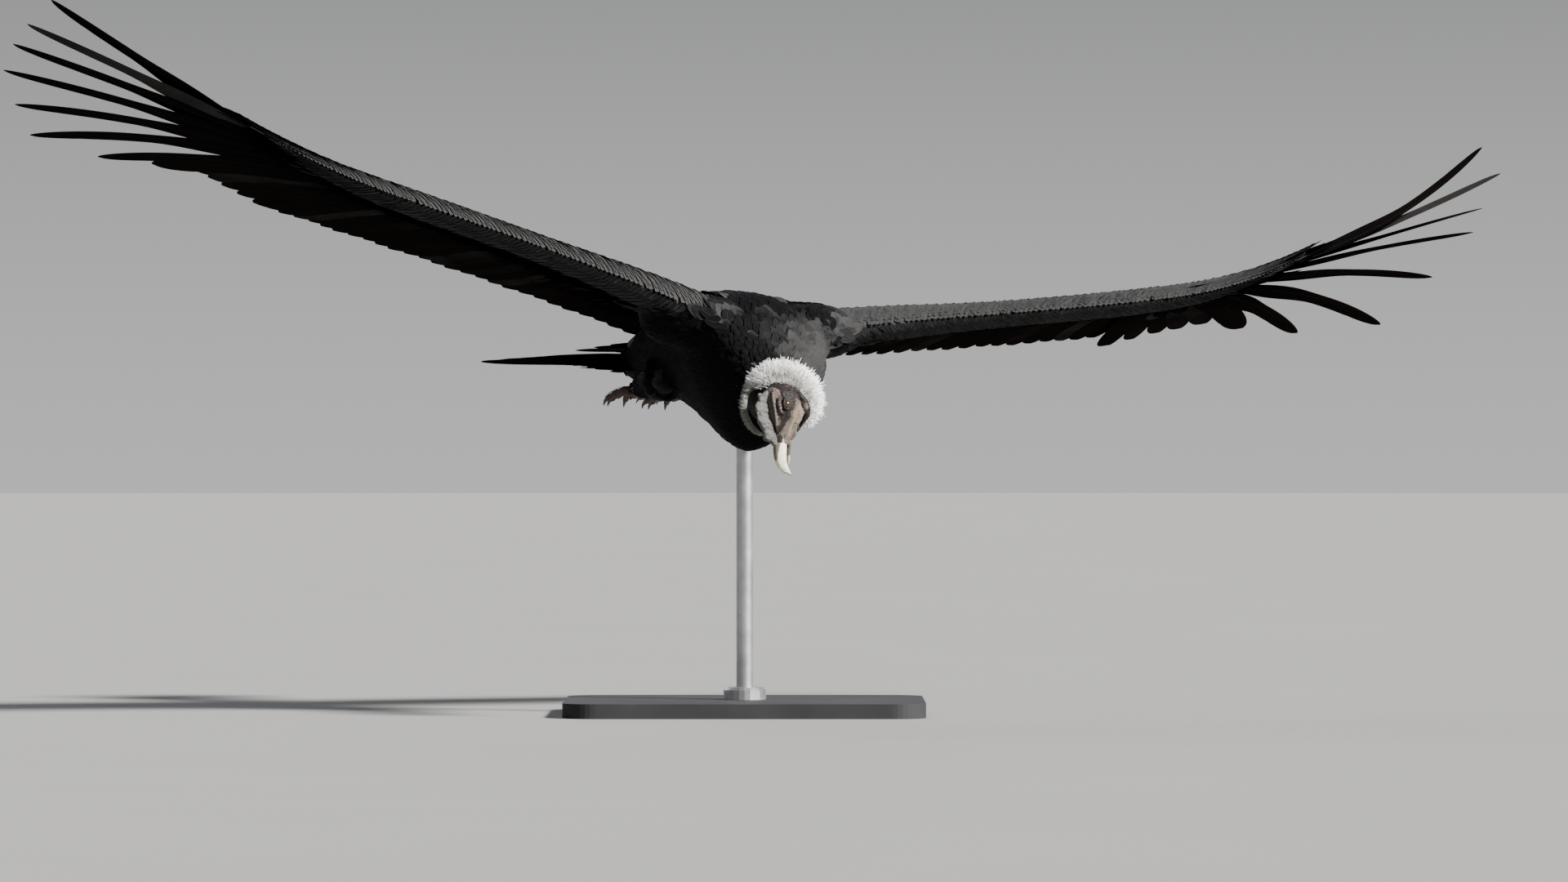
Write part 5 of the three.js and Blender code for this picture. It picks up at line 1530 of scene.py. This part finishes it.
def comb_skin(looks):
    """The comb: grey, coarse and granular, darker in the cracks of its grain, with pink patches."""
    p = Paint("comb_skin")
    grain, blotch = p.cells(420), p.noise(70, 5, 0.6)
    cracks = p.cells(380, "DISTANCE_TO_EDGE")
    colour = p.mix(p.between(blotch, 0.32, 0.68), tinted(looks.comb, 0.6), looks.comb)
    colour = p.mix(p.between(cracks, 0.0, 0.12, (1, 0)) * 0.4, colour, tinted(looks.comb, 0.3))
    colour = p.mix(p.between(p.noise(210, 3), 0.56, 0.72) * 0.5, colour, looks.pink)
    bump = p.bumps((p.between(cracks, 0.0, 0.35), 0.0007, 0.6), (grain, 0.0006, 0.6))
    return p.done(Base_Color=colour, Roughness=0.55 + blotch * 0.25, Normal=bump, Specular_IOR_Level=0.4)


def horn(looks):
    """The bill: olive grey at its base, ivory from the middle to the tip, with growth lines along it,
    scuffs and a thin darker cutting edge. base is the share of the dark root set on the bill; along the
    culmen it runs further out as painted shade."""
    p = Paint("horn")
    base, cut, lines = p.value("base"), p.value("cut"), p.value("lines")
    cloud, fine = p.noise(120, 5, 0.6), p.noise(600, 3)
    streak = p.math("SINE", lines * 60 + cloud * 7)
    colour = p.mix(p.between(cloud, 0.3, 0.7), looks.ivory, tinted(looks.ivory, 0.86, 0.8, 0.68))
    colour = p.mix(p.between(base + cloud * 0.4 - 0.2, 0.25, 0.75), colour, looks.olive)
    colour = p.mix(p.between(streak, 0.2, 1.0) * 0.16, colour, tinted(looks.olive, 0.5))
    colour = p.mix(cut * 0.8, colour, (0.05, 0.035, 0.028))
    scuff = p.between(p.noise(45, 6, 0.7), 0.56, 0.66)
    return p.done(Base_Color=colour, Roughness=0.3 + scuff * 0.25 + fine * 0.08,
                  Normal=p.bump(streak * 0.5 + fine, 0.00025, 0.5),
                  Coat_Weight=0.15, Coat_Roughness=0.25)


def iris(looks):
    """The eye: a black pupil, a brown iris with rays and a dark rim, from the angle off the way it looks."""
    p = Paint("iris")
    gaze, ray = p.value("gaze"), p.value("ray")
    rays = p.math("SINE", ray * 46 + p.noise(900, 2) * 5)
    colour = p.mix(p.between(rays + gaze * 0.6, -0.6, 1.2), looks.iris, tinted(looks.iris, 0.45))
    colour = p.mix(p.between(gaze, 0.30, 0.335, (1, 0)), colour, (0.003, 0.003, 0.003))
    colour = p.mix(p.between(gaze, 0.62, 0.76), colour, (0.012, 0.009, 0.008))
    return p.done(Base_Color=colour, Roughness=0.25 + p.between(gaze, 0.7, 1.0) * 0.3, Coat_Weight=1.0,
                  Coat_Roughness=0.02, IOR=1.38)


def foot_skin(looks):
    """Scaly skin: small plates, darker in the grooves between them, grey with rusty washes."""
    p = Paint("foot_skin")
    plates, cloud = p.cells(420, "DISTANCE_TO_EDGE"), p.noise(60, 5, 0.6)
    colour = p.mix(p.between(cloud, 0.35, 0.65), looks.foot, looks.rust)
    colour = p.mix(p.between(plates, 0.0, 0.1, (1, 0)) * 0.75, colour, (0.02, 0.016, 0.014))
    return p.done(Base_Color=colour, Roughness=0.62 + cloud * 0.2,
                  Normal=p.bump(p.between(plates, 0.0, 0.22), 0.0008, 0.8))


def claw_horn():
    p = Paint("claw_horn")
    cloud = p.noise(150, 4)
    ridge = p.math("SINE", p.noise(40, 2) * 60)
    colour = p.mix(p.between(cloud, 0.35, 0.7), (0.012, 0.011, 0.01), (0.045, 0.038, 0.032))
    return p.done(Base_Color=colour, Roughness=0.32 + cloud * 0.2, Normal=p.bump(ridge, 0.0002, 0.4),
                  Coat_Weight=0.2)


def stand_base(looks):
    """Painted board: a matt charcoal coat with a fine orange-peel grain, rubbed lighter here and there."""
    p = Paint("painted_board")
    peel, cloud, rub = p.noise(900, 2), p.noise(7, 5, 0.6), p.noise(22, 8, 0.75)
    colour = p.mix(p.between(cloud, 0.3, 0.7), looks.board, tinted(looks.board, 1.35))
    colour = p.mix(p.between(rub, 0.62, 0.74) * 0.25, colour, tinted(looks.board, 3))
    return p.done(Base_Color=colour, Roughness=0.62 + rub * 0.2, Normal=p.bump(peel, 0.00025, 0.35),
                  Specular_IOR_Level=0.2)


def stand_steel():
    """Turned steel: fine rings of the tool round the rod, and a soft cloud of polish."""
    p = Paint("turned_steel")
    high = p.node("ShaderNodeSeparateXYZ", None, {0: p.objects}, 2)
    rings, cloud = p.math("SINE", high * 9000 + p.noise(60, 2) * 4), p.noise(30, 4)
    colour = p.mix(p.between(cloud, 0.3, 0.7), (0.42, 0.43, 0.45), (0.55, 0.56, 0.57))
    return p.done(Base_Color=colour, Metallic=0.9, Roughness=0.3 + cloud * 0.14 + rings * 0.02,
                  Normal=p.bump(rings, 0.00006, 0.3))


def studio_floor(looks):
    p = Paint("studio_floor")
    cloud, fine = p.noise(1.1, 4), p.noise(140, 3)
    colour = p.mix(p.between(cloud, 0.3, 0.7), looks.floor, tinted(looks.floor, 0.97))
    return p.done(Base_Color=colour, Roughness=0.75 + fine * 0.1, Normal=p.bump(fine, 0.0004, 0.2))


def colour(name, about, value):
    return FloatVectorProperty(name=name, description=about, default=value, subtype="COLOR", size=3, min=0,
                               max=1)


class CondorColours(bpy.types.PropertyGroup):
    black: colour("Black", "Main colour of the feathers", (0.0024, 0.0025, 0.0031))
    # Brown is also the grey that painted light lifts the lit plumage to
    brown: colour("Brown", "What the black goes over to in its clouds", (0.036, 0.036, 0.0365))
    fringe: colour("Fringe", "Worn margins of the feathers", (0.026, 0.025, 0.0245))
    panel: colour("Panel", "White panels on the upper side of the wings", (0.62, 0.61, 0.58))
    down: colour("Down", "The ruff", (0.95, 0.945, 0.92))
    skin: colour("Skin", "Bare skin of head and neck", (0.105, 0.083, 0.07))
    dusk: colour("Dusk", "Violet brown of throat and nape", (0.0075, 0.0038, 0.0036))
    tan: colour("Tan", "Folds of the cheek", (0.175, 0.14, 0.1))
    brown_skin: colour("Brown skin", "Round the eye", (0.006, 0.003, 0.002))
    pink: colour("Pink", "Blush on brow and neck", (0.15, 0.097, 0.088))
    comb: colour("Comb", "Grey of the comb and brow", (0.105, 0.102, 0.095))
    ivory: colour("Ivory", "Tip of the bill", (0.80, 0.765, 0.67))
    olive: colour("Olive", "Root of the bill", (0.135, 0.125, 0.085))
    iris: colour("Iris", "The eye", (0.075, 0.03, 0.014))
    foot: colour("Foot", "Scaly skin of the feet", (0.05, 0.043, 0.039))
    rust: colour("Rust", "Washes on the feet", (0.075, 0.028, 0.017))
    board: colour("Board", "The stand's base", (0.02, 0.02, 0.022))
    floor: colour("Floor", "The studio's floor", (0.215, 0.2145, 0.212))


class CondorCoat(bpy.types.PropertyGroup):
    depth: FloatProperty(name="Coat depth", description="How far the skin lies inside the solids",
                         default=0.010, min=0.002, max=0.02, unit="LENGTH")
    contour: FloatProperty(name="Body feathers",
                           description="Length of the body's feathers against the usual", default=1.0,
                           min=0.6, max=1.4, subtype="FACTOR")
    down: FloatProperty(name="Down", description="Length of the ruff's locks against the usual",
                        default=1.0, min=0.6, max=1.3, subtype="FACTOR")
    locks: IntProperty(name="Locks", description="How many locks of down the ruff has", default=6000,
                       min=200, max=6100)
    seed: IntProperty(name="Seed", description="The draw that sets how the feathers vary", default=7, min=0)


class CondorStudio(bpy.types.PropertyGroup):
    distance: FloatProperty(name="Camera distance", description="From the shoulders to the camera",
                            default=14.0, min=5, max=40, unit="LENGTH")
    lens: FloatProperty(name="Lens", description="Focal length", default=181.03, min=20, max=400,
                        unit="CAMERA")
    key: FloatProperty(name="Key light", description="Strength of the main light", default=16.0, min=0,
                       max=40)
    fill: FloatProperty(name="Fill", description="Strength of the light from all round", default=0.22,
                        min=0, max=3)


def kit(context):
    """What more than one operator uses: the two wings, and the body's skin with a tree for rays."""
    if not _made:
        _made["wings"] = {name: Wing(**size) for name, size in WINGS.items()}
        _made["skin"] = body_skin(context.scene.condor_coat.depth * 1000, _made["wings"])
        faces = [*_made["skin"].quads.tolist(), *_made["skin"].tris.tolist()]
        _made["tree"] = BVHTree.FromPolygons(_made["skin"].points.tolist(), faces)
    return _made["wings"], _made["skin"], _made["tree"]


_made = {}


class CONDOR_OT_skin(bpy.types.Operator):
    """One skin for trunk, arms and thighs, and the bare skin of neck and head"""

    bl_idname = "condor.skin"
    bl_label = "Skin"

    def execute(self, context):
        looks = context.scene.condor_colours
        _, body, _ = kit(context)
        flesh = relaxed(fused(join([neck(-0.4), head_flesh().moved(from_head)]), 1.3), 2)
        flesh = wrinkled(flesh)
        tints = head_tints(flesh.points)
        whole = join([body, flesh])
        values = {key: np.concatenate([np.zeros(len(body.points)), v]) for key, v in tints.items()}
        mesh = mesh_of("skin", whole, values=values)
        thing = piece("skin", mesh, [hide(looks), bare_skin(looks)], "skin", "torso", "neck", "head")
        bare = np.zeros(len(mesh.polygons), np.int32)
        first = np.concatenate([whole.quads[:, 0], whole.tris[:, 0]])
        bare[first >= len(body.points)] = 1
        thing.data.polygons.foreach_set("material_index", bare)
        return {"FINISHED"}


class CONDOR_OT_head(bpy.types.Operator):
    """The comb, both halves of the bill and the eyes"""

    bl_idname = "condor.head"
    bl_label = "Comb, bill and eyes"

    def execute(self, context):
        looks = context.scene.condor_colours
        comb = creased_comb(relaxed(fused(comb_shape(), 0.9), 2)).moved(from_head)
        piece("comb_crest", mesh_of("comb_crest", comb), comb_skin(looks), "comb", "comb")
        paint = horn(looks)
        for name, profile, ends, ridge in (
            ("bill_upper", BILL_UPPER, ((0, -57, -4), (0, -117.5, -34)), 0.16),
            ("bill_lower", BILL_LOWER, ((0, -53, -22), (0, -101.5, -24)), -0.12),
        ):
            shape = bill(profile, *ends, ridge)
            p = shape.points
            upper = name == "bill_upper"
            over = step((p[:, 2] - np.interp(-p[:, 1], -profile[:, 0], profile[:, 3])) / 8, -0.9, 0.0)
            # Painted shade: on the upper half the olive root runs up to 32 mm further out along the culmen,
            # the side turned from the key light; the root itself is the bill's own colour
            base = 1 - step(-p[:, 1] - 32 * over * upper - 18 * (not upper), 58, 76)
            middle = np.interp(-p[:, 1], -profile[:, 0], (profile[:, 2] + profile[:, 3]) / 2)
            edge = np.interp(-p[:, 1], -profile[:, 0], profile[:, 2] if upper else profile[:, 3])
            cut = np.maximum(np.exp(-(((p[:, 2] - edge) / 1.6) ** 2)),
                             (not upper) * (0.9 - step(-p[:, 1], 78, 98)))
            values = {"base": base, "cut": cut * 0.8,
                      "lines": (p[:, 2] - middle) / 12 + np.abs(p[:, 0]) / 22}
            mesh = mesh_of(name + "_horn", shape.moved(from_head), values=values)
            piece(name + "_horn", mesh, paint, "ivory", name)
        paint = iris(looks)
        for side, node in ((-1, "eye_right"), (1, "eye_left")):
            shape, gaze = eyeball(side)
            turn = np.arctan2(shape.points[:, 2] - EYE_PLACE[2], shape.points[:, 1] - EYE_PLACE[1])
            mesh = mesh_of(node + "_ball", shape.moved(from_head), values={"gaze": gaze, "ray": turn})
            piece(node + "_ball", mesh, paint, "eye", node)
        return {"FINISHED"}


class CONDOR_OT_ruff(bpy.types.Operator):
    """The white ruff: a pad round the neck's base under thousands of curling locks of down"""

    bl_idname = "condor.ruff"
    bl_label = "Ruff"

    def execute(self, context):
        looks, coat = context.scene.condor_colours, context.scene.condor_coat
        paint = down(looks)
        core = ruff_core()
        along = np.linspace(0, 1, len(core.points))
        maps = {"OFBake": xyz(along, 0.98), "vane": xyz(0 * along, 0)}
        # Painted shade: the pad's thin end is set darker, as its locks are
        values = {"share": 0 * along + 0.2, "tone_and_painted_shading": 4.5 * step(along, 0.5, 0.74)}
        piece("ruff_pad", mesh_of("ruff_pad", core, maps, values), paint, "down", "ruff")
        feather_piece("ruff_down", ruff_down(coat.locks, coat.down, coat.seed), paint, "down", "ruff")
        return {"FINISHED"}


class CONDOR_OT_wings(bpy.types.Operator):
    """Both wings' flight feathers and their tiers of coverts, above and below"""

    bl_idname = "condor.wings"
    bl_label = "Wings"

    def execute(self, context):
        looks, seed = context.scene.condor_colours, context.scene.condor_coat.seed
        wings, _, _ = kit(context)
        flight = plumage("flight_feathers", looks, 1.0, 0.0, 0.35, 0.0, 0.22)
        coverts = plumage("coverts", looks, 0.8, 0.4, 0.9, 0.05)
        under = plumage("under_coverts", looks, 0.8, 0.4, 0.3, 0.0)
        for name, wing in wings.items():
            nodes = [f"wing_{name}_{part}" for part in ("arm", "forearm", "hand")]
            feather_piece(f"flight_{name}", [secondaries(wing, seed), primaries(wing, seed + 1)], flight,
                          "plumage", *nodes)
            front = (HAND_END + 4, WRIST - 20)
            above = [*arm_coverts(wing, UPPER_ROWS, 1, seed + 10),
                     *hand_coverts(wing, UPPER_HAND, 1, seed + 30), alula(wing, seed + 40),
                     *arm_coverts(wing, HAND_FRONT, 1, seed + 20, front)]
            feather_piece(f"coverts_above_{name}", above, coverts, "plumage", *nodes)
            below = [*arm_coverts(wing, LOWER_ROWS, -1, seed + 50),
                     *hand_coverts(wing, LOWER_HAND, -1, seed + 70),
                     *arm_coverts(wing, HAND_FRONT[:-1], -1, seed + 60, front)]
            feather_piece(f"coverts_below_{name}", below, under, "plumage", *nodes)
        return {"FINISHED"}


class CONDOR_OT_body(bpy.types.Operator):
    """The body's small feathers, and the scapulars and tertials over the roots of the wings"""

    bl_idname = "condor.body"
    bl_label = "Body feathers"

    def execute(self, context):
        looks, coat = context.scene.condor_colours, context.scene.condor_coat
        wings, body, tree = kit(context)
        paint = plumage("contour_feathers", looks, 0.6, 0.7, 1.0, 0.03)
        mantle = plumage("mantle", looks, 0.8, 0.3, 0.6, 0.0)
        feather_piece("contour", [contour_feathers(body, tree, coat.contour, coat.seed + 100)], paint,
                      "plumage", "torso")
        sets = []
        for wing in wings.values():
            sets += shoulder_feathers(tree, wing, coat.contour, coat.seed + 120)
        feather_piece("scapulars", sets, mantle, "plumage", "torso")
        return {"FINISHED"}


class CONDOR_OT_tail(bpy.types.Operator):
    """Tail feathers with their coverts above and below"""

    bl_idname = "condor.tail"
    bl_label = "Tail"

    def execute(self, context):
        looks, seed = context.scene.condor_colours, context.scene.condor_coat.seed
        fan = np.linspace(-1, 1, RECTRICES)
        quills = tail_feathers(fan, 0, 19, 58, TAIL_LENGTH, 0, seed + 200, quills=True)
        feather_piece("rectrices", [quills], plumage("tail_feathers", looks, 1.0, 0.0, 0.35), "plumage",
                      "tail")
        sets = [
            tail_feathers(np.linspace(-0.96, 0.96, count), *sizes, seed + 210 + k)
            for k, (count, *sizes) in enumerate(TAIL_COVERTS)
        ]
        feather_piece("tail_coverts", sets, plumage("tail_coverts", looks, 0.8, 0.4, 0.8), "plumage",
                      "tail")
        return {"FINISHED"}


class CONDOR_OT_feet(bpy.types.Operator):
    """Scaly feet laid back under the tail, with their claws"""

    bl_idname = "condor.feet"
    bl_label = "Feet"

    def execute(self, context):
        looks, seed = context.scene.condor_colours, context.scene.condor_coat.seed
        flesh, horny = foot_skin(looks), claw_horn()
        for side, name in ((-1, "right"), (1, "left")):
            node = f"leg_{name}"
            piece(f"foot_{name}", mesh_of(f"foot_{name}", foot_shape(side)), flesh, "foot", node)
            feather_piece(f"scutes_{name}", [foot_scales(side, seed + 300)], flesh, "foot", node)
            piece(f"claws_{name}", mesh_of(f"claws_{name}", claws(side)), horny, "foot", node)
        return {"FINISHED"}


class CONDOR_OT_stand(bpy.types.Operator):
    """Finishes for the stand's base and rod, which keep their solids"""

    bl_idname = "condor.stand"
    bl_label = "Stand"

    def execute(self, context):
        looks = context.scene.condor_colours
        for node, paint in (("stand_base", stand_base(looks)),
                            ("stand_rod", stand_steel())):
            mesh = frame["nodes"][node].data
            mesh.materials.clear()
            mesh.materials.append(paint)
        return {"FINISHED"}


class CONDOR_OT_stage(bpy.types.Operator):
    """Pale floor, soft lights and the camera"""

    bl_idname = "condor.stage"
    bl_label = "Stage"

    def execute(self, context):
        looks, studio = context.scene.condor_colours, context.scene.condor_studio
        radius, turn = np.array([[1.0], [6.0], [60.0]]), turns(64)
        rings = xyz(radius * np.cos(turn), radius * np.sin(turn), 0)
        quads, fans = (np.roll(faces[:, ::-1], 1, 1) for faces in tube_faces(3, 64))
        disc = Shape(np.vstack([rings.reshape(-1, 3), [(0, 0, 0)]]), quads, fans[:64])
        floor = bpy.data.objects.new("floor", mesh_of("floor", disc, place=lambda p: p))
        floor.data.materials.append(studio_floor(looks))
        context.scene.collection.objects.link(floor)

        world = bpy.data.worlds.new("studio")
        world.use_nodes = True
        tree = world.node_tree
        around = tree.nodes.new("ShaderNodeTexCoord")
        height = tree.nodes.new("ShaderNodeSeparateXYZ")
        rise = tree.nodes.new("ShaderNodeMapRange")
        sweep = tree.nodes.new("ShaderNodeMix")
        rise.interpolation_type, sweep.data_type = "SMOOTHSTEP", "RGBA"
        for socket, value in ((rise.inputs[1], -0.02), (rise.inputs[2], 0.11),
                              (sweep.inputs[6], (2.7, 2.7, 2.7, 1)),
                              (sweep.inputs[7], (0.93, 0.95, 1.0, 1))):
            socket.default_value = value
        tree.links.new(around.outputs["Generated"], height.inputs[0])
        tree.links.new(height.outputs[2], rise.inputs[0])
        tree.links.new(rise.outputs[0], sweep.inputs[0])
        tree.links.new(sweep.outputs[2], tree.nodes["Background"].inputs["Color"])
        tree.nodes["Background"].inputs["Strength"].default_value = studio.fill
        context.scene.world = world

        middle = Vector(SHOULDERS) / 1000
        for name, place, angle, strength, tint in (
            ("key", (5.0, -2.6, 4.6), 9, studio.key, (1.0, 0.98, 0.95)),
            ("back", (-1.5, 4.5, 3.6), 24, studio.key * 0.04, (0.96, 0.98, 1.0)),
        ):
            light = bpy.data.lights.new(name, "SUN")
            light.energy, light.angle, light.color = strength, math.radians(angle), tint
            lamp = bpy.data.objects.new(name, light)
            lamp.location = Vector(place)
            lamp.rotation_euler = (middle - lamp.location).to_track_quat("-Z", "Y").to_euler()
            context.scene.collection.objects.link(lamp)

        lens = bpy.data.cameras.new("camera")
        lens.lens, lens.sensor_width, lens.clip_end = studio.lens, 36, 200
        camera = bpy.data.objects.new("camera", lens)
        camera.location = (0.070, middle.y - studio.distance, 0.487)
        camera.rotation_euler = (math.pi / 2, 0, 0)
        context.scene.collection.objects.link(camera)
        context.scene.camera = camera
        return {"FINISHED"}


STEPS = [
    CONDOR_OT_stage, CONDOR_OT_skin, CONDOR_OT_head, CONDOR_OT_ruff, CONDOR_OT_wings,
    CONDOR_OT_body, CONDOR_OT_tail, CONDOR_OT_feet, CONDOR_OT_stand,
]


class CONDOR_PT_panel(bpy.types.Panel):
    """The condor's sizes, colours and steps"""

    bl_idname = "CONDOR_PT_panel"
    bl_label = "Andean condor"
    bl_space_type = "VIEW_3D"
    bl_region_type = "UI"
    bl_category = "Condor"

    def draw(self, context):
        for name in ("condor_coat", "condor_colours", "condor_studio"):
            group = getattr(context.scene, name)
            box = self.layout.box()
            for key in group.__annotations__:
                box.prop(group, key)
        for kind in STEPS:
            self.layout.operator(kind.bl_idname)


GROUPS = {"condor_colours": CondorColours, "condor_coat": CondorCoat, "condor_studio": CondorStudio}


def register():
    for kind in (*GROUPS.values(), *STEPS, CONDOR_PT_panel):
        bpy.utils.register_class(kind)
    for name, group in GROUPS.items():
        setattr(bpy.types.Scene, name, PointerProperty(type=group))


def unregister():
    for name in GROUPS:
        delattr(bpy.types.Scene, name)
    for kind in (CONDOR_PT_panel, *reversed(STEPS), *GROUPS.values()):
        bpy.utils.unregister_class(kind)


def main():
    register()
    for kind in STEPS:
        group, name = kind.bl_idname.split(".")
        getattr(getattr(bpy.ops, group), name)()


if __name__ == "__main__":
    main()
